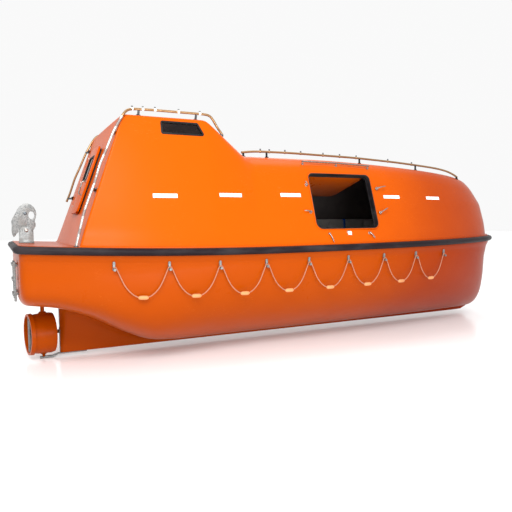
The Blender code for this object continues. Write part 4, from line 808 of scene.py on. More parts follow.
def finish(name, dress, **constants):
    """Principled material. dress(p, uv) returns what changes over the surface, by socket name."""
    made = bpy.data.materials.new(name)
    made.use_nodes = True
    tree = made.node_tree
    shader = tree.nodes["Principled BSDF"]
    for key, value in constants.items():
        shader.inputs[key.replace("_", " ")].default_value = value
    coordinates = tree.nodes.new("ShaderNodeTexCoord")
    sockets = dress(*(Wire(tree, coordinates.outputs[kind]) for kind in ("Object", "UV")))
    if "height" in sockets:
        relief, distance = sockets.pop("height")
        inputs = {"Height": relief, "Strength": 1.0, "Distance": distance}
        sockets["Normal"] = relief.call("ShaderNodeBump", {}, inputs)
    for key, value in sockets.items():
        tree.links.new(value.socket, shader.inputs[key])
    return made


def colour(code):
    """Linear colour from a hex code."""
    parts = [int(code[k:k + 2], 16) / 255 for k in (0, 2, 4)]
    return tuple(p / 12.92 if p <= 0.04045 else ((p + 0.055) / 1.055) ** 2.4 for p in parts)


def gelcoat(name, base, fore, pale):
    """Moulded gelcoat: mottled at random between base and fore, with fairing waves and fine scratches; the
    tone also darkens towards fore low down and towards the bow, which is painted shade.
    """

    def dress(p, uv):
        cloud = p.noise(0.9, 3.0)
        fine = p.noise(14.0, 4.0)
        # painted shade: the two masks below darken the tone low down and towards the bow
        low = 1.0 - p.part("Z").step(-0.55, 0.35)
        bow_shade = p.part("X").step(-0.6, 3.0)
        handled = p.noise(2.2, 2.0).step(0.52, 0.62)
        scratches = p.noise(60.0, 2.0, (0.35, 1.0, 6.0)).step(0.66, 0.74) * handled
        # random mottling plus the painted shade low down and towards the bow
        worn = bow_shade * 0.8 + (fine - 0.5) * 0.10 + (cloud - 0.5) * 0.35 + low * 0.18
        tone = worn.step(0.0, 1.0).mix(base, fore)
        tone = (scratches * 0.25).mix(tone, pale)
        rough = 0.20 + cloud * 0.14 + fine * 0.06 + scratches * 0.2
        waves = p.noise(2.2, 1.0) * 0.55 + p.noise(260.0, 1.0) * 0.0012
        return {"Base Color": tone, "Roughness": rough, "height": (waves, 0.006)}

    return finish(name, dress, IOR=1.15, Specular_IOR_Level=0.5)


def rubber(name, base, dusty):
    """Matt rubber with dust in long streaks."""

    def dress(p, uv):
        dust = p.noise(6.0, 5.0, (0.4, 1.0, 1.0)).step(0.42, 0.72)
        grain = p.noise(420.0, 2.0)
        return {
            "Base Color": (dust * 0.6).mix(base, dusty), "Roughness": 0.42 + dust * 0.25,
            "height": (grain + p.noise(30.0, 3.0, (0.2, 1.0, 1.0)) * 2.0, 0.0006),
        }

    return finish(name, dress, IOR=1.2, Specular_IOR_Level=0.5)


def metal(name, base, stained, rough, stain_at=(0.5, 0.75), metallic=1.0):
    """Bare metal with handling marks and stained patches that are duller."""

    def dress(p, uv):
        stain = p.noise(11.0, 5.0).step(*stain_at)
        marks = p.noise(90.0, 3.0)
        return {
            "Base Color": (stain * 0.7).mix(base, stained), "Roughness": rough + marks * 0.12 + stain * 0.22,
            "Metallic": metallic - stain * 0.35 * metallic, "height": (marks, 0.0003),
        }

    return finish(name, dress)


def galvanising(name):
    """Zinc coating: pale spangles of slightly different greys and chalky patches."""

    def dress(p, uv):
        cells = p.call("ShaderNodeTexVoronoi", {}, {"Vector": p, "Scale": 70.0}, 1)
        spangle = cells.part("X")
        chalk = p.noise(9.0, 5.0).step(0.45, 0.7)
        tone = spangle.mix((0.13, 0.135, 0.135), (0.26, 0.265, 0.26))
        return {
            "Base Color": (chalk * 0.55).mix(tone, (0.24, 0.24, 0.225)),
            "Roughness": 0.38 + spangle * 0.12 + chalk * 0.25,
            "Metallic": 0.75 - chalk * 0.45, "height": (p.noise(160.0, 2.0), 0.0004),
        }

    return finish(name, dress)


def laid_rope(name, base, groove_shade_and_dirt):
    """Three-strand rope: the strands' relief runs as a slanting wave over length and girth, with painted
    shade in the grooves between them.
    """

    def dress(p, uv):
        lay = (uv.part("X") * (LAYS_A_METRE * 2 * math.pi) + uv.part("Y") * (6 * math.pi)).sine() * 0.5 + 0.5
        fuzz = p.noise(700.0, 2.0)
        dirt = p.noise(9.0, 3.0).step(0.45, 0.7)
        # painted shade: the grooves between the strands take the darker colour, which is also the colour of
        # the dirt
        tone = lay.step(0.0, 0.5).mix(groove_shade_and_dirt, base)
        return {
            "Base Color": (dirt * 0.35).mix(tone, groove_shade_and_dirt), "Roughness": 0.8 + fuzz * 0.15,
            "height": (lay + fuzz * 0.3, 0.0016),
        }

    return finish(name, dress)


def plain_moulding(name, base, mark, rough=0.5, coat=0.0, grain=140.0, depth=0.0005):
    """Moulded or painted surface with faint mottling, dirt and a fine grain."""

    def dress(p, uv):
        dirt = p.noise(5.0, 5.0).step(0.45, 0.75)
        return {
            "Base Color": (dirt * 0.5).mix(base, mark), "Roughness": rough + dirt * 0.18,
            "height": (p.noise(grain, 2.0), depth),
        }

    return finish(name, dress, Coat_Weight=coat)


def reflective_tape():
    """White retro-reflective tape: small sealed cells under a glossy film, greyer at worn spots."""

    def dress(p, uv):
        cells = p.call("ShaderNodeTexVoronoi", {"feature": "DISTANCE_TO_EDGE"}, {"Vector": p, "Scale": 240.0})
        wall = 1.0 - cells.step(0.02, 0.09)
        worn = p.noise(30.0, 4.0).step(0.55, 0.75)
        tone = (wall * 0.35 + worn * 0.3).mix((0.94, 0.95, 0.96), (0.62, 0.63, 0.64))
        return {"Base Color": tone, "Roughness": 0.28 + worn * 0.3, "height": (wall, 0.0002)}

    return finish("reflective_tape", dress, Coat_Weight=0.4)


def smoked_pane():
    """Smoked acrylic with haze and fine wiping scratches."""

    def dress(p, uv):
        haze = p.noise(7.0, 4.0).step(0.4, 0.8)
        scratch = p.noise(90.0, 2.0, (0.3, 1.0, 3.0)).step(0.68, 0.76)
        return {
            "Base Color": (haze * 0.4).mix((0.006, 0.003, 0.003), (0.020, 0.010, 0.009)),
            "Roughness": 0.05 + haze * 0.08 + scratch * 0.2, "Alpha": 0.86 + haze * 0.08,
        }

    return finish("smoked_pane", dress, Specular_IOR_Level=0.25)


ORANGE_PALE, BLUE, BLUE_SHADE = (colour(code) for code in ("ff9a50", "3a78e0", "2455a8"))
coats = {
    "canopy": gelcoat("canopy_gelcoat", (0.50, 0.076, 0.0002), (0.31, 0.034, 0.0002), ORANGE_PALE),
    # painted shade: the hull's coat is the canopy's orange made darker, both in its own tone and its bow tone
    "hull": gelcoat("hull_gelcoat", (0.345, 0.050, 0.0002), (0.245, 0.021, 0.0002), ORANGE_PALE),
    "inside": plain_moulding("inside_moulding", (0.11, 0.09, 0.085), (0.06, 0.05, 0.047), 0.6),
    "fender": rubber("fender_rubber", (0.010, 0.006, 0.008), (0.040, 0.034, 0.036)),
    "seal": rubber("seal_rubber", (0.010, 0.009, 0.010), (0.035, 0.033, 0.033)),
    "steel": metal("polished_steel", (0.30, 0.28, 0.26), (0.16, 0.10, 0.07), 0.20),
    "pipe": metal("spray_pipe", (0.36, 0.21, 0.10), (0.18, 0.09, 0.045), 0.30),
    "riser": metal("wrapped_pipe", (0.46, 0.45, 0.43), (0.12, 0.06, 0.05), 0.25, (0.50, 0.56), 0.8),
    "iron": metal("dark_steel", (0.10, 0.11, 0.12), (0.05, 0.045, 0.04), 0.35),
    "zinc": galvanising("zinc_coating"),
    "bronze": metal("propeller_bronze", (0.60, 0.40, 0.17), (0.22, 0.20, 0.12), 0.28),
    # the rope's second colour is painted shade in the strand grooves and also its dirt
    "rope": laid_rope("floating_rope", (0.46, 0.20, 0.12), (0.28, 0.09, 0.05)),
    "foam": plain_moulding("float_foam", (0.56, 0.24, 0.09), (0.38, 0.12, 0.04), 0.65, grain=300.0),
    "tape": reflective_tape(),
    "pane": smoked_pane(),
    "pad": plain_moulding("back_pad", (0.62, 0.59, 0.57), (0.45, 0.43, 0.41), 0.7, grain=500.0, depth=0.001),
    "bench": plain_moulding("bench_moulding", (0.30, 0.31, 0.31), (0.18, 0.185, 0.18), 0.45, 0.1),
    "engine": plain_moulding("engine_paint", (0.035, 0.055, 0.075), (0.015, 0.018, 0.02), 0.4, 0.2),
    "white": plain_moulding("white_plastic", (0.80, 0.80, 0.78), (0.55, 0.54, 0.50), 0.4),
    "blue": plain_moulding("blue_webbing", BLUE, BLUE_SHADE, 0.75, grain=600.0, depth=0.001),
}


# Hull


def prism(name, outline, placer, low, high, coat):
    """Plain body between two depths of an outline, for cutting."""
    outline = np.asarray(outline, float)
    grid = np.stack([placer(outline[:, 0], outline[:, 1], np.full(len(outline), d)) for d in (low, high)])
    return raw_object(name, surface(grid), coat)


def upright(x, y, z):
    """Points on a level plan: station, distance to port and height."""
    return np.stack((x, y, z), -1)


def make_hull():
    """Hull moulding with its hollow; the ring closes across the deck and the stern by a flat transom."""
    rings = whole_rings(hull_half())
    hull = raw_object("hull_moulding", surface(rings, ends=(True, False)), coats["hull"])
    narrow = WELL_HALF_WIDTH * WELL_NARROWS
    well = rounded_outline([
        (WELL_AFT, -WELL_HALF_WIDTH, 0.05), (WELL_FORE, -narrow, 0.2),
        (WELL_FORE, narrow, 0.2), (WELL_AFT, WELL_HALF_WIDTH, 0.05),
    ], 4)
    x = np.linspace(BENCH_AFT, BENCH_FORE, 24)
    y = half_beam(x) - (FENDER_DEPTH + TOPSIDE_INSET / 2 + HULL_WALL)
    upper = np.vstack((np.column_stack((x, y)), np.column_stack((x, -y))[::-1]))
    carve(hull, [
        prism("well", well, upright, WELL_FLOOR, ABOVE_DECK, coats["inside"]),
        prism("upper", upper, upright, BENCH_Z, ABOVE_DECK, coats["inside"]),
    ])
    place(smooth(hull, 32), "boat", "gelcoat", "hull")


def make_skeg():
    """Skeg and keel bar: flat foot, near upright side, and a fillet that runs out along the planking."""
    parts = (np.linspace(SKEG_AFT, 0.62, 10), np.linspace(0.66, 2.6, 60), np.linspace(2.7, 6.75, 40))
    x = np.concatenate(parts + (np.linspace(6.8, KEEL_NOSE, 24),))
    planking = np.interp(x, SECTIONS[:, 0], SECTIONS[:, 1])
    planking = np.where(x > STEM[0, 1], np.interp(x, STEM[:3, 1], STEM[:3, 0]), planking)
    foot = np.interp(x, KEEL_FOOT[:, 0], KEEL_FOOT[:, 1])
    power = np.interp(x, SECTIONS[:, 0], SECTIONS[:, 2])
    top = sheer(x) - TOPSIDE_BELOW_SHEER
    reach = np.clip((planking - foot) * FILLET_SHARE, FILLET_LEAST, FILLET_MOST)

    def thickness(z):
        half = np.interp(z, SKEG_THICKNESS[:, 0], SKEG_THICKNESS[:, 1])
        taper = np.clip((x - SKEG_AFT) / (SKEG_TAPER * half), 0, 1)
        return SKEG_EDGE + (half - SKEG_EDGE) * np.sin(taper * math.pi / 2)

    def skin(y):
        inside = 1 - (np.abs(y) / (half_beam(x) - TOPSIDE_INSET)) ** power
        return top - (top - planking) * inside ** (1 / power)

    low, side_top = foot + SKEG_CHAMFER, planking - reach
    rows = [(np.zeros_like(x), foot), (thickness(foot) - SKEG_CHAMFER, foot), (thickness(foot), low)]
    for t in np.linspace(0.15, 1.0, 9):
        z = low + (side_top - low) * t
        rows.append((thickness(z), np.maximum(z, low)))
    start_y, end_y = thickness(side_top), thickness(side_top) + reach
    corner, end = skin(start_y), skin(end_y) + 0.004
    for t in np.linspace(0.1, 1.0, 10):
        y = start_y * (1 - t) ** 2 + 2 * start_y * t * (1 - t) + end_y * t**2
        z = side_top * (1 - t) ** 2 + 2 * corner * t * (1 - t) + end * t**2
        rows.append((y, np.maximum(z, low)))
    half = np.stack([np.column_stack((x, y, z)) for y, z in rows], axis=1)
    cover = half[:, -1:] * np.array((1.0, 0.0, 1.0)) + np.array((0.0, 0.0, 0.02))
    rings = whole_rings(np.concatenate((half, cover), axis=1))[:, :-1]
    piece("skeg", surface(rings), coats["hull"], "boat", "gelcoat", angle=40)


def make_fenders():
    """D-shaped fender with a lip above and below, carried round the hull's rim."""
    places, normals = rim()
    # columns: share of the depth outward, share of the half height
    section = np.array([
        (0.0, -1.0), (0.30, -1.0), (0.34, -0.93), (0.42, -0.90), (0.62, -0.86), (0.80, -0.66), (0.93, -0.36),
        (0.985, -0.08), (0.985, 0.08), (0.93, 0.36), (0.80, 0.66), (0.62, 0.86), (0.42, 0.90), (0.34, 0.93),
        (0.30, 1.0), (0.0, 1.0),
    ])
    reach = SKIN_GAP + FENDER_DEPTH * section[None, :, 0]
    x = places[:, 0, None] + normals[:, 0, None] * reach
    y = np.maximum(places[:, 1, None] + normals[:, 1, None] * reach, MIDDLE_GAP)
    z = sheer(np.clip(places[:, 0, None], 0, None)) + FENDER_HALF_HEIGHT * section[None, :, 1]
    for name, side in SIDES.items():
        strip = surface(np.stack((x, side * y, z), -1))
        node = f"fender_{name}"
        piece(f"fender_strip_{name}", strip, coats["fender"], "boat", "fender_rubber", (node,), 38)


def lug_spots():
    """Columns for each lug: station, outer face of its strap, height of its top."""
    x = LUG_FIRST + LUG_PITCH * np.arange(LUG_COUNT)
    top = sheer(x) - LUG_BELOW_SHEER
    face = np.maximum(skin_y(x, top), skin_y(x, top - LUG_TALL)) + LUG_THICK
    return np.column_stack((x, face, top))


def topside_place(side):
    """Points on an upright plane along the hull: station, height and distance from the centreline."""
    return lambda x, z, out: np.stack(np.broadcast_arrays(x, side * out, z), -1)


# columns: distance out from the strap, radius
PEG = [(0, 0.009), (0.028, 0.009), (0.030, 0.0145), (0.035, 0.0155), (0.039, 0.0135), (0.040, 0.004)]
LUG_BOLT = [(0, 0.007), (0.004, 0.007), (0.006, 0.004)]


def make_lugs():
    """Straps on the topside, each with a turned peg that carries the rope and a bolt near its top."""
    for name, side in SIDES.items():
        shapes = []
        for x, face, top in lug_spots():
            low, high = (x - LUG_WIDE / 2, top - LUG_TALL - LUG_TOE), (x + LUG_WIDE / 2, top)
            outline = rounded_rectangle(low, high, LUG_CORNER, 4)
            shapes.append(slab(outline, face - LUG_ROOT, face, 0.003, topside_place(side)))
            shapes.append(turned(PEG, (x, side * (face - 0.002), top - LUG_TALL), (0, side, 0), 16))
            shapes.append(turned(LUG_BOLT, (x, side * (face - 0.001), top - LUG_BOLT_DOWN), (0, side, 0), 6))
        piece(f"lug_row_{name}", merged(shapes), coats["zinc"], "boat", "galvanised")


# Grab lines


def rope_route(side):
    """Points of a grab line, and its bights: arches over the pegs and chain curves clear of the hull."""
    turns = np.radians(ARCH_TURNS)
    x, face, top = lug_spots().T[:, :, None]
    arches = np.stack(np.broadcast_arrays(
        x + ROPE_ARCH * np.cos(turns), face + ROPE_RADIUS + 0.003, top - LUG_TALL + ROPE_ARCH * np.sin(turns),
    ), -1)
    t = (np.arange(1, ROPE_STEPS) / ROPE_STEPS)[None, :, None]
    bights = arches[:-1, -1:] * (1 - t) + arches[1:, :1] * t
    drop = math.cosh(ROPE_CURVE) - 1
    fall = 1 - (np.cosh(ROPE_CURVE * (2 * t[..., 0] - 1)) - 1) / drop
    bights[..., 2] -= ROPE_SAG * fall
    room = np.where((t[..., 0] > 0.3) & (t[..., 0] < 0.7), FLOAT_RADIUS, ROPE_RADIUS) + 0.004
    bights[..., 1] = np.maximum(bights[..., 1], skin_y(bights[..., 0], bights[..., 2]) + room)
    parts = [arches[0, 1:]]
    for bight, arch in zip(bights, arches[1:]):
        parts += [bight, arch]
    route = np.vstack(parts)[:-1]
    return route * np.array((1.0, side, 1.0)), bights * np.array((1.0, side, 1.0))


def through(points, steps):
    """Smooth line through points: Catmull-Rom pieces, each point held."""
    ends = np.vstack((2 * points[0] - points[1], points, 2 * points[-1] - points[-2]))
    t = (np.arange(steps) / steps)[None, :, None]
    a, b, c, d = (ends[k:len(ends) - 3 + k, None] for k in range(4))
    curve = 0.5 * (2 * b + (c - a) * t + (2 * a - 5 * b + 4 * c - d) * t**2 + (3 * b - a - 3 * c + d) * t**3)
    return np.vstack((curve.reshape(-1, 3), points[-1:]))


def make_grab_lines():
    """Ropes through their routes' points, each with a float turned about the middle of every bight."""
    # columns: distance from the float's end, radius; the other half is its mirror
    half = [(0, 0.0075), (0.004, 0.013), (0.014, 0.0195), (0.030, 0.0222), (0.055, FLOAT_RADIUS)]
    profile = half + [(FLOAT_LENGTH - d, radius) for d, radius in reversed(half[:-1])]
    middle = ROPE_STEPS // 2
    for name, side in SIDES.items():
        route, bights = rope_route(side)
        line = through(route, 4)
        shape, node = pipe(line, ROPE_RADIUS, 12), f"grab_line_{name}"
        rope = piece(f"grab_rope_{name}", shape, coats["rope"], "boat", "rope", (node,), 60)
        shapes = []
        for a, b in bights[:, middle - 1:middle + 1]:
            along = unit(b - a)
            shapes.append(turned(profile, (a + b) / 2 - along * FLOAT_LENGTH / 2, along, 20))
        floats = piece(f"grab_floats_{name}", merged(shapes), coats["foam"], "boat", "rope", (), 50)


# Canopy


def box_cutter(name, low, high, coat):
    """Plain box between two corners, for cutting."""
    (x0, y0, z0), (x1, y1, z1) = low, high
    ring = np.array([(y0, z0), (y1, z0), (y1, z1), (y0, z1)])
    return prism(name, ring, lambda y, z, x: np.stack((x, y, z), -1), x0, x1, coat)


NOTCH_LOW, NOTCH_HIGH, NOTCH_END, NOTCH_WALLS_END = 0.8, 2.9, 7.9, 7.8
# depths between which the ways are cut
HATCH_CUT, WINDOW_CUT, AFT_CUT, FRONT_CUT = (-0.1, 0.25), (-0.05, 0.12), (-0.12, 0.12), (-0.12, 0.08)


def make_canopy():
    """Canopy moulding: its outer form less the room and the ways through, and the fore hook's recess."""
    coat = coats["canopy"]
    canopy = raw_object("canopy_moulding", surface(CANOPY_RINGS, ends=(True, False)), coat)
    room = surface(canopy_inside(), ends=(True, False))
    carve(canopy, [raw_object("room", room, coats["inside"])])
    outer, floor = NOTCH_HALF + NOTCH_WALL, float(deck(NOTCH_FLOOR_AT)) + 0.004
    low, high = (NOTCH_AFT - NOTCH_WALL, -outer, floor), (NOTCH_WALLS_END, outer, NOTCH_HIGH)
    walls = box_cutter("recess_walls", low, high, coat)
    carve(walls, [raw_object("room", room, coat)], "INTERSECT")
    recess = (NOTCH_AFT, -NOTCH_HALF, NOTCH_LOW), (NOTCH_END, NOTCH_HALF, NOTCH_HIGH)
    carve(walls, [box_cutter("inner", *recess, coat)])
    place(smooth(walls, 30), "boat", "gelcoat")
    cutters = [box_cutter("recess", *recess, coat)]
    for side in SIDES.values():
        cutters.append(prism("way", hatch_outline(HATCH_WAY_GROWS), side_place(side), *HATCH_CUT, coat))
        cutters.append(prism("pane_way", window_outline(), window_place(side), *WINDOW_CUT, coat))
    cutters.append(prism("aft_way", aft_outline(), aft_place, *AFT_CUT, coat))
    cutters.append(prism("front_way", front_outline(), front_place, *FRONT_CUT, coat))
    place(smooth(carve(canopy, cutters), 30), "boat", "gelcoat", "canopy")


# columns: distance outwards from the outline, depth inwards
WINDOW_BEAD = np.array([
    (-0.010, -0.004), (-0.004, -0.0075), (0.006, -0.0065), (0.011, -0.002), (0.011, 0.002), (-0.010, 0.012),
])


def make_windows():
    """Panes keep their CAD plates; rubber seals go round them."""
    for name, side in SIDES.items():
        seal = moulding(window_outline(), WINDOW_BEAD, window_place(side))
        piece(f"window_seal_{name}", seal, coats["seal"], "boat", "hatch_trim")
    seal = moulding(front_outline(), WINDOW_BEAD * (1, -1), front_place)
    piece("window_seal_front", seal, coats["seal"], "boat", "hatch_trim")
    for node in ("tower_window_starboard", "tower_window_port", "tower_window_front", "aft_hatch_window"):
        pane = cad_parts[node]
        pane.data.materials.clear()
        pane.data.materials.append(coats["pane"])


# columns: aft end, fore end, lower edge, upper edge
TAPES = [
    (1.345, 1.615, 1.885, 1.929),
    (2.115, 2.405, 1.902, 1.944),
    (2.940, 3.222, 1.914, 1.957),
    (4.537, 4.825, 1.909, 1.951),
    (5.365, 5.648, 1.904, 1.945),
]
TAPE_PROUD, TAPE_SUNK = 0.0016, 0.003


def make_tapes():
    """White reflective strips along each side, laid on the canopy's curve."""
    for name, side in SIDES.items():
        shapes = []
        for aft, fore, low, high in TAPES:
            grid_x, grid_z = np.meshgrid(np.linspace(aft, fore, 13), np.linspace(low, high, 3), indexing="ij")
            y = canopy_y(grid_x, grid_z)
            face = np.stack((grid_x, side * (y + TAPE_PROUD), grid_z), -1)
            back = np.stack((grid_x, side * (y - TAPE_SUNK), grid_z), -1)
            shapes.append(surface(np.concatenate((face, back[:, ::-1]), axis=1)))
        piece(f"tape_row_{name}", merged(shapes), coats["tape"], "boat", "gelcoat")


# Side hatches


# columns: distance outwards from the hatch's outline, depth inwards
HATCH_LIP = [(0.0, 0.066), (0.0, -0.008), (0.004, -0.012), (0.014, -0.012), (0.018, -0.008), (0.018, 0.066)]
HATCH_BULB = [
    (-0.012, 0.052), (-0.012, 0.062), (-0.006, 0.0685), (0.010, 0.0685), (0.014, 0.062), (0.002, 0.050),
]
HATCH_LINER = [
    (0.002, 0.056), (-0.0035, 0.056), (-0.0035, -0.006), (-0.001, -0.0125), (0.005, -0.0150),
    (0.0085, -0.0120),
]


def make_side_hatches():
    """Coaming lip, its rubber seal and lining, the moulded door on its body, hinge, rail and catches."""
    for name, side in SIDES.items():
        lip, seal, liner = (
            moulding(hatch_outline(), rows, side_place(side)) for rows in (HATCH_LIP, HATCH_BULB, HATCH_LINER)
        )
        node = f"hatch_coaming_{name}"
        piece(f"hatch_lip_{name}", lip, coats["canopy"], "boat", "gelcoat", (node,), 50)
        piece(f"hatch_seal_{name}", seal, coats["seal"], "boat", "hatch_trim")
        piece(f"hatch_liner_{name}", liner, coats["seal"], "boat", "hatch_trim")
        leaf, body = f"hatch_leaf_{name}", f"{name}_door"
        softened(f"hatch_door_{name}", leaf, coats["canopy"], body, "gelcoat", 0.005, 3)
        softened(f"hatch_hinge_{name}", f"hatch_pin_{name}", coats["steel"], "boat", "stainless", 0.002)
        softened(f"hatch_rail_{name}", f"hatch_bar_{name}", coats["steel"], "boat", "stainless", 0)
        make_dogs(name, side)


# columns: station, distance down the slope, where the lever's tip lies beside it
DOGS = [
    (3.332, 0.15, (-0.025, -0.035)),
    (3.325, 0.51, (-0.105, -0.01)),
    (4.428, 0.18, (0.13, -0.025)),
    (4.405, 0.52, (0.115, -0.055)),
    (3.535, 0.800, (0.030, 0.115)),
    (4.160, 0.800, (0.045, 0.080)),
]
# columns: distance out from the canopy, radius
DOG_BOSS = [
    (-0.01, 0.021), (0.004, 0.021), (0.007, 0.017), (0.016, 0.0135), (0.024, 0.0125), (0.027, 0.009),
    (0.028, 0.001),
]
KNOB_PLATE = [(-0.006, 0.042), (0.003, 0.042), (0.005, 0.039), (0.006, 0.01)]
# columns: share of the way to the lever's tip, distance out from the canopy
DOG_LEVER = [(0.0, 0.018), (0.35, 0.034), (0.7, 0.036), (1.0, 0.030)]
# shares of the lever's length, and its radius at each
DOG_TAPER = (0, 0.2, 0.85, 1), (0.0085, 0.007, 0.0075, 0.004)
KNOB_AT, KNOB_HALF = np.array((3.84, 0.798)), np.array((0.026, 0.024))
KNOB_OUT, KNOB_SUNK, KNOB_EDGE, KNOB_CORNER = 0.022, 0.004, 0.004, 0.006


def make_dogs(name, side):
    """Hatch dogs: a turned boss with a bent lever; a square white knob stands below the hatch's middle."""
    placer = side_place(side)

    def spot(x, down, out):
        return placer(np.array(x), np.array(down), np.array(-out))

    outward = unit(spot(0, 0, 1) - spot(0, 0, 0))
    shapes = []
    for x, down, (tip_x, tip_down) in DOGS:
        shapes.append(turned(DOG_BOSS, spot(x, down, 0.0), outward, 20))
        path = eased([spot(x + tip_x * t, down + tip_down * t, out) for t, out in DOG_LEVER], 0.02, 4)
        width = np.interp(np.linspace(0, 1, len(path)), *DOG_TAPER)
        shapes.append(pipe(path, width, 12, level=outward))
    piece(f"hatch_dogs_{name}", merged(shapes), coats["steel"], "boat", "stainless")
    square = rounded_rectangle(KNOB_AT - KNOB_HALF, KNOB_AT + KNOB_HALF, KNOB_CORNER, 3)
    knob = slab(square, -KNOB_OUT, KNOB_SUNK, KNOB_EDGE, placer)
    piece(f"hatch_knob_{name}", knob, coats["white"], "boat", "gelcoat")
    base = turned(KNOB_PLATE, spot(*KNOB_AT, 0.0), outward, 28)
    piece(f"hatch_knob_plate_{name}", base, coats["steel"], "boat", "stainless")


# Aft hatch


AFT_PANE_HALF, AFT_PANE_LOW, AFT_PANE_HIGH, AFT_PANE_CORNER = 0.16, 0.80, 1.10, 0.03
# columns: distance outwards from the pane's outline, distance out from the face
AFT_BEAD = [
    (-0.011, 0.024), (-0.011, 0.041), (-0.004, 0.0455), (0.008, 0.044), (0.013, 0.040), (0.013, 0.036),
]
HANDLE_V, HANDLE_RADIUS = -0.215, 0.0075
# columns: distance up the face, distance out from it
HANDLE = [(0.60, 0.036), (0.60, 0.078), (0.76, 0.078), (0.76, 0.036)]


def make_aft_hatch():
    """Tower hatch: frame, leaf and hinge from their nodes, a bead round the pane and a bent handle."""
    softened("aft_hatch_frame", "tower_hatch_frame", coats["seal"], "boat", "hatch_trim", 0.004)
    softened("aft_hatch", "tower_hatch_leaf", coats["canopy"], "tower_door", "gelcoat", 0.004, 3)
    softened("aft_hatch_hinge", "tower_hatch_pin", coats["steel"], "boat", "stainless", 0.002)
    low, high = (-AFT_PANE_HALF, AFT_PANE_LOW), (AFT_PANE_HALF, AFT_PANE_HIGH)
    bead = moulding(rounded_rectangle(low, high, AFT_PANE_CORNER, 4), AFT_BEAD, aft_place)
    piece("tower_hatch_bead", bead, coats["seal"], "tower_door", "hatch_trim")
    bar = eased([aft_place(HANDLE_V, up, out) for up, out in HANDLE], 0.02)
    handle = pipe(bar, HANDLE_RADIUS, 14)
    piece("tower_hatch_handle", handle, coats["steel"], "tower_door", "stainless")


# Hooks


HOOK_X = {"aft": 0.125, "fore": 6.78}
HOOK_PIN_UP, STAND_TALL = 0.150, 0.192  # above the stand's foot
HOOK_BOLT_AFT, HOOK_BOLT_UP = 0.005, 0.195  # from the pin
# columns: distance out from the face, radius
HOOK_NUT = [(-0.002, 0.024), (0.004, 0.024), (0.006, 0.019), (0.014, 0.019), (0.016, 0.015)]
HOOK_BOLT = [(-0.002, 0.020), (0.003, 0.020), (0.005, 0.017), (0.005, 0.009)]
HOOK_FACE, CHEEK_FACE = 0.020, 0.040


def make_hooks():
    """Release hooks and their stands, with a bolt through each head and nuts on each pin."""
    for end, x in HOOK_X.items():
        body = f"{end}_release"
        softened(f"{end}_hook", f"{end}_hook_head", coats["zinc"], body, "galvanised", 0.005, 3)
        softened(f"{end}_hook_stand", f"{end}_hook_base", coats["zinc"], "boat", "galvanised", 0.004)
        pin_z = float(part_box(f"{end}_hook_stand")[1][2]) + DATUM[2] - STAND_TALL + HOOK_PIN_UP
        for name, side in SIDES.items():
            spot = (x - HOOK_BOLT_AFT, side * HOOK_FACE, pin_z + HOOK_BOLT_UP)
            bolt = turned(HOOK_BOLT, spot, (0, side, 0), 20)
            piece(f"{end}_hook_bolt_{name}", bolt, coats["iron"], body, "stainless")
            nut = turned(HOOK_NUT, (x, side * CHEEK_FACE, pin_z), (0, side, 0), 6)
            piece(f"{end}_hook_nut_{name}", nut, coats["steel"], "boat", "stainless", angle=25)


# Stern gear


def make_stern_gear():
    """Nozzle with its guard in the hull's colour, propeller, heel bar, bearings and ladder."""
    softened("steering_nozzle", "nozzle_ring", coats["hull"], "nozzle", "gelcoat", 0, angle=45)
    softened("nozzle_band", "nozzle_guard", coats["hull"], "nozzle", "gelcoat", 0, angle=40)
    softened("propeller", "propeller_screw", coats["bronze"], "screw", "bronze", 0, angle=50)
    softened("heel_bar", "heel_iron", coats["zinc"], "boat", "galvanised", 0.004)
    softened("stock_bearing", "stock_flange", coats["zinc"], "boat", "galvanised", 0.002)
    softened("stern_tube", "stern_boss", coats["zinc"], "boat", "galvanised", 0.002)
    softened("boarding_ladder", "transom_ladder", coats["zinc"], "boat", "galvanised", 0.003)


NOZZLE_Z, STOCK_X, NOZZLE_REST = 0.324, 0.267, math.radians(8.0)
VANE_AFT, VANE_LENGTH, VANE_HALF, VANE_REACH = -0.168, 0.040, 0.007, 0.208


def make_vane():
    """Upright vane across the nozzle's outlet: a rounded section from the floor of the ring to its roof."""
    turns = np.linspace(0, 2 * math.pi, 25)[:-1]
    along = VANE_AFT + VANE_LENGTH * (1 - np.cos(turns)) / 2
    out = VANE_HALF * np.sin(turns) * (1.3 - 0.3 * np.cos(turns))
    x = STOCK_X + along * math.cos(NOZZLE_REST) - out * math.sin(NOZZLE_REST)
    y = along * math.sin(NOZZLE_REST) + out * math.cos(NOZZLE_REST)
    heights = NOZZLE_Z + VANE_REACH * np.linspace(-1, 1, 9)
    grid = np.stack([np.column_stack((x, y, np.full(len(x), z))) for z in heights])
    piece("nozzle_vane", surface(grid), coats["zinc"], "nozzle", "galvanised", angle=45)


# Rails


def canopy_tree():
    """Search tree over the faces of the CAD canopy."""
    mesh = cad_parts["canopy"].data
    faces = [tuple(face.vertices) for face in mesh.polygons]
    return BVHTree.FromPolygons([tuple(vertex.co) for vertex in mesh.vertices], faces)


CANOPY_TREE = canopy_tree()


def seat(start, heading):
    """First point of the canopy met from a station point in a direction."""
    hit = CANOPY_TREE.ray_cast(Vector(np.asarray(start, float) - DATUM), Vector(heading))[0]
    return np.array(hit) + DATUM


def on_path(path, x):
    """Point of a path at a station, by straight lines between its rows."""
    rows = path[np.argsort(path[:, 0])]
    return np.array((x, np.interp(x, rows[:, 0], rows[:, 1]), np.interp(x, rows[:, 0], rows[:, 2])))


RAIL_RADIUS, RAIL_FOOT_RADIUS, POST_RADIUS = 0.014, 0.026, 0.013
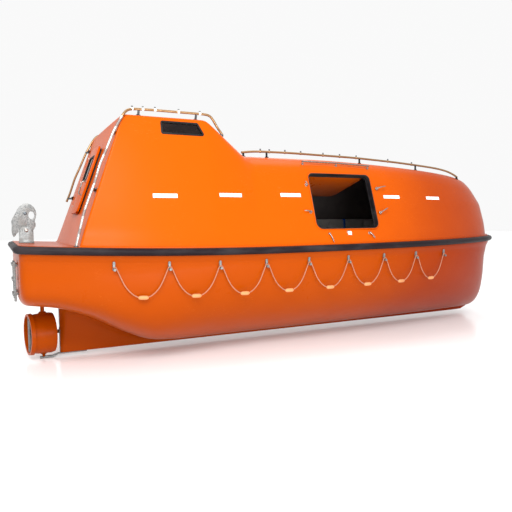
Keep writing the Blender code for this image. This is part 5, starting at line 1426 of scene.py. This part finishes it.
# columns: distance from the face, radius
POST_FLANGE = [
    (-0.012, RAIL_FOOT_RADIUS), (0.005, RAIL_FOOT_RADIUS), (0.008, RAIL_FOOT_RADIUS * 0.85),
    (0.010, POST_RADIUS * 1.3),
]
RISER_FLANGE = [(-0.003, 0.026), (0.005, 0.026), (0.008, 0.022), (0.010, 0.015)]
# columns: distance along the pipe, radius
HEAD_BALL = [
    (-0.019, 0.006), (-0.017, 0.011), (-0.010, 0.0165), (0.0, 0.018), (0.010, 0.0165), (0.017, 0.011),
    (0.019, 0.006),
]
# columns: distance above the pipe's skin, radius
HEAD_NOZZLE = np.array([(0.0, 0.007), (0.010, 0.007), (0.012, 0.0105), (0.020, 0.0105), (0.022, 0.005)])


def post(top, start, heading):
    """Post from a rail's point to where a ray from start meets the canopy, with a bolted flange."""
    bottom = seat(start, heading)
    back = unit(top - bottom)
    shaft = [(-0.012, POST_RADIUS), (np.linalg.norm(top - bottom), POST_RADIUS)]
    return [turned(shaft, bottom, back, 14), turned(POST_FLANGE, bottom, back, 20)]


def spray_heads(path, stations):
    """Round fittings on a pipe, and the small turned nozzles that stand on them."""
    spots = [on_path(path, x) for x in stations]
    nozzle = HEAD_NOZZLE + (RAIL_RADIUS, 0)
    balls = merged([turned(HEAD_BALL, spot, (1, 0, 0), 18) for spot in spots])
    return balls, merged([turned(nozzle, spot, (0, 0, 1), 14) for spot in spots])


# columns: station, distance from the centreline, height
TOWER_RAIL = np.array([
    (0.704, 1.033, 1.924), (0.748, 1.015, 2.030), (0.815, 0.992, 2.237), (0.889, 0.976, 2.398),
    (0.974, 0.960, 2.597), (1.066, 0.960, 2.760), (1.118, 0.942, 2.828), (1.190, 0.915, 2.852),
    (1.400, 0.900, 2.860), (2.030, 0.885, 2.862), (2.094, 0.876, 2.855), (2.135, 0.868, 2.822),
    (2.204, 0.862, 2.716), (2.266, 0.852, 2.646),
])
# starboard rail only: its foot on the deck
TOWER_RAIL_RISER = np.array([(0.530, 1.128, 1.382), (0.624, 1.095, 1.732)])
# columns: station, distance from the centreline, height above the roof
ROOF_RAIL = np.array([
    (2.625, 0.60, 0.050), (2.80, 0.60, 0.072), (3.30, 0.60, 0.075), (4.35, 0.60, 0.075), (5.08, 0.60, 0.075),
    (5.52, 0.59, 0.075), (5.90, 0.56, 0.075), (6.16, 0.53, 0.068), (6.32, 0.51, 0.050), (6.42, 0.50, 0.030),
])
TOWER_HEADS = (1.185, 1.305, 1.444, 1.718, 1.974)
ROOF_HEADS = (2.89, 3.02, 3.25, 3.49, 3.84, 4.11, 4.39, 4.95, 5.40)
# columns: station, how far inboard of the rail and below it the post's ray starts, where it heads
TOWER_POSTS = [
    (0.722, 0.10, 0.0, (1, 0, 0)), (0.974, 0.10, 0.0, (1, 0, 0)), (1.26, 0.03, 0.02, (0, 0, -1)),
    (1.93, 0.03, 0.02, (0, 0, -1)), (2.25, 0.0, 0.0, (0, 0, -1)),
]
ROOF_POSTS = (2.65, 2.98, 4.445, 5.475, 6.40)
RISER_TOP, ABOVE_ROOF = 1.06, 3.5


def tower_posts(rail, side):
    """Posts of a tower rail; to starboard also the flange of its riser on the deck."""
    posts = []
    for x, inboard, below, heading in TOWER_POSTS:
        spot = on_path(rail, x)
        posts += post(spot, spot - np.array((0, side * inboard, below)), heading)
    if side < 0:
        foot = rail[0] * (1, 1, 0) + (0, 0, float(deck(rail[0, 0])))
        posts.append(turned(RISER_FLANGE, foot, (0, 0, 1), 20))
    return merged(posts)


def roof_posts(rail):
    """Posts of a roof rail, straight down from it to the canopy."""
    posts = []
    for x in ROOF_POSTS:
        spot = on_path(rail, x)
        posts += post(spot, spot, (0, 0, -1))
    return merged(posts)


def make_rails():
    """Spray pipes that serve as rails over the tower and the roof, with posts, fittings and nozzles."""
    for name, side in SIDES.items():
        rows = TOWER_RAIL if side > 0 else np.vstack((TOWER_RAIL_RISER, TOWER_RAIL))
        tower = rows * (1.0, side, 1.0)
        path = eased(tower, 0.05)
        top = path[:, 0] > RISER_TOP
        upper = pipe(path[top], RAIL_RADIUS, 18)
        piece(f"tower_pipe_{name}", upper, coats["pipe"], "boat", "stainless", (f"tower_rail_{name}",), 50)
        riser = pipe(np.vstack((path[~top], path[top][:1])), RAIL_RADIUS, 18)
        coat = coats["riser" if side < 0 else "pipe"]
        piece(f"tower_riser_{name}", riser, coat, "boat", "stainless", angle=50)
        balls, nozzles = spray_heads(tower, TOWER_HEADS)
        piece(f"tower_collars_{name}", balls, coats["white"], "boat", "gelcoat")
        piece(f"tower_nozzles_{name}", nozzles, coats["zinc"], "boat", "galvanised")

        spots = ROOF_RAIL[:, :2] * (1.0, side)
        heights = np.array([seat((x, y, ABOVE_ROOF), (0, 0, -1))[2] for x, y in spots])
        roof = np.column_stack((spots, heights + ROOF_RAIL[:, 2]))
        line = pipe(eased(roof, 0.16, 8), RAIL_RADIUS, 18)
        piece(f"roof_pipe_{name}", line, coats["pipe"], "boat", "stainless", (f"roof_rail_{name}",), 50)
        balls, nozzles = spray_heads(roof, ROOF_HEADS)
        piece(f"roof_collars_{name}", balls, coats["pipe"], "boat", "stainless")
        piece(f"roof_nozzles_{name}", nozzles, coats["iron"], "boat", "stainless")
        piece(f"rail_posts_{name}", tower_posts(tower, side), coats["iron"], "boat", "stainless")
        piece(f"roof_posts_{name}", roof_posts(roof), coats["seal"], "boat", "hatch_trim")


# Inside


BACK_AFT, BACK_FORE, BACK_TOP, BACK_THICK, BACK_PITCH = 4.62, 5.98, 1.65, 0.07, 0.34
BACK_GAP, SEAM_DEEP, SEAM_WIDE, BACK_END = 0.015, 0.35, 0.014, 0.03
STRAP_AT, STRAP_WIDE, STRAP_THICK = 5.255, 0.042, 0.003


def make_inside():
    """Benches, helm seat and engine from their nodes, and padded backs with a strap."""
    for name in ("starboard", "port"):
        softened(f"bench_{name}", f"bench_top_{name}", coats["bench"], "boat", "bench_moulding", 0.006)
    softened("helm_seat", "helm_chair", coats["bench"], "boat", "bench_moulding", 0.012, 3)
    softened("engine", "engine_case", coats["engine"], "boat", "engine_paint", 0.02, 3)
    for name, side in SIDES.items():
        back = back_pad(side, BACK_AFT, BACK_FORE, 0.0)
        piece(f"seat_back_{name}", back, coats["pad"], "boat", "bench_moulding", angle=50)
        strap = back_pad(side, STRAP_AT - STRAP_WIDE / 2, STRAP_AT + STRAP_WIDE / 2, STRAP_THICK)
        piece(f"seat_strap_{name}", strap, coats["blue"], "boat", "bench_moulding", angle=50)


def back_pad(side, aft, fore, grow):
    """Padded back along the cabin wall, thinner at seams and ends, or a strap round it where grown."""
    x = np.linspace(aft, fore, max(5, int((fore - aft) / 0.01)))
    spots = np.linspace(BACK_AFT, BACK_FORE, 12)
    wall = [side * seat((spot, 0.0, BACK_TOP), (0, side, 0))[1] for spot in spots]
    y = np.interp(x, spots, wall) - BACK_GAP - BACK_THICK / 2
    seam = np.abs((x - BACK_AFT + BACK_PITCH / 2) % BACK_PITCH - BACK_PITCH / 2)
    ends = np.clip(np.minimum(x - BACK_AFT, BACK_FORE - x) / BACK_END, 0, 1)
    swell = (1 - SEAM_DEEP * np.exp(-((seam / SEAM_WIDE) ** 2))) * np.sqrt(0.12 + 0.88 * ends)
    low = float(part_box("bench_port")[1][2]) + DATUM[2]
    middle, reach = (low + BACK_TOP) / 2, (BACK_TOP - low) / 2
    turns = np.linspace(0, 2 * math.pi, 41)[:-1]
    across = np.sign(np.cos(turns)) * np.abs(np.cos(turns)) ** 0.55
    upright = np.sign(np.sin(turns)) * np.abs(np.sin(turns)) ** 0.18
    grid_y = y[:, None] + (BACK_THICK / 2 * swell[:, None] + grow) * across
    grid_z = np.maximum(middle + (reach + grow) * upright, low + 0.001)
    return surface(np.stack(np.broadcast_arrays(x[:, None], side * grid_y, grid_z), -1))


# Stage, light and camera


FLOOR_HALF = 60.0
# columns: name, place, aim, width and height, power
LIGHTS = [
    ("key", (-5.0, -8.5, 6.5), (-0.2, 0.0, 0.9), (6.0, 4.0), 1180),
    ("fill", (-0.8, -8.5, 0.5), (-0.2, 0.0, -0.3), (5.0, 1.6), 230),
    ("top", (0.0, 1.0, 8.5), (0.0, 0.0, 1.0), (8.0, 5.0), 260),
    ("back", (2.0, 9.0, 5.0), (0.0, 0.0, 1.0), (8.0, 4.0), 120),
]


def make_stage():
    """Plain pale floor, level with the lowest point of the part."""
    mesh = bpy.data.meshes.new("floor")
    square = ((-1, -1), (1, -1), (1, 1), (-1, 1))
    corners = [(a * FLOOR_HALF, b * FLOOR_HALF, cad_box[0][2]) for a, b in square]
    mesh.from_pydata(corners, [], [(0, 1, 2, 3)])

    def dress(p, uv):
        haze = p.noise(0.6, 3.0)
        tone = haze.mix((0.84, 0.84, 0.84), (0.88, 0.88, 0.88))
        return {"Base Color": tone, "Roughness": 0.16 + haze * 0.08}

    glow = {"Emission_Color": (1.0, 1.0, 1.0, 1.0), "Emission_Strength": 0.15}
    mesh.materials.append(finish("pale_floor", dress, **glow))
    linked("floor", mesh)


def make_lights():
    """Soft rectangular lights, each turned to its aim, under an even white sky."""
    for name, spot, aim, size, power in LIGHTS:
        light = bpy.data.lights.new(name, "AREA")
        light.shape, light.energy = "RECTANGLE", power
        light.size, light.size_y = size
        obj = linked(name, light)
        obj.location = spot
        obj.rotation_euler = (Vector(aim) - Vector(spot)).to_track_quat("-Z", "Y").to_euler()
    world = bpy.data.worlds.new("pale_sky")
    world.use_nodes = True
    sky = world.node_tree.nodes["Background"].inputs
    sky["Color"].default_value, sky["Strength"].default_value = (1.0, 1.0, 1.0, 1.0), 0.95
    bpy.context.scene.world = world
    bpy.context.scene.view_settings.view_transform = "Standard"


CAMERA_PLACE = (-3.807, -6.814, 0.993)
CAMERA_YAW, CAMERA_PITCH, CAMERA_ROLL = 25.90, -3.47, -0.75
CAMERA_LENS, CAMERA_SENSOR = 37.77, 36.0


def make_camera():
    """Camera at the photograph's angle: facing port, turned to the bow by the yaw, pitched and rolled."""
    lens = bpy.data.cameras.new("camera")
    lens.lens, lens.sensor_width = CAMERA_LENS, CAMERA_SENSOR
    camera = linked("camera", lens)
    camera.location = CAMERA_PLACE
    turns = ((-CAMERA_YAW, "Z"), (90 + CAMERA_PITCH, "X"), (CAMERA_ROLL, "Z"))
    yaw, pitch, roll = (Matrix.Rotation(math.radians(angle), 3, axis) for angle, axis in turns)
    camera.rotation_euler = (yaw @ pitch @ roll).to_euler()
    bpy.context.scene.camera = camera


make_camera()
make_grab_lines()
make_hull()
make_skeg()
make_fenders()
make_lugs()
make_canopy()
make_windows()
make_tapes()
make_side_hatches()
make_aft_hatch()
make_hooks()
make_stern_gear()
make_vane()
make_rails()
make_inside()
make_stage()
make_lights()
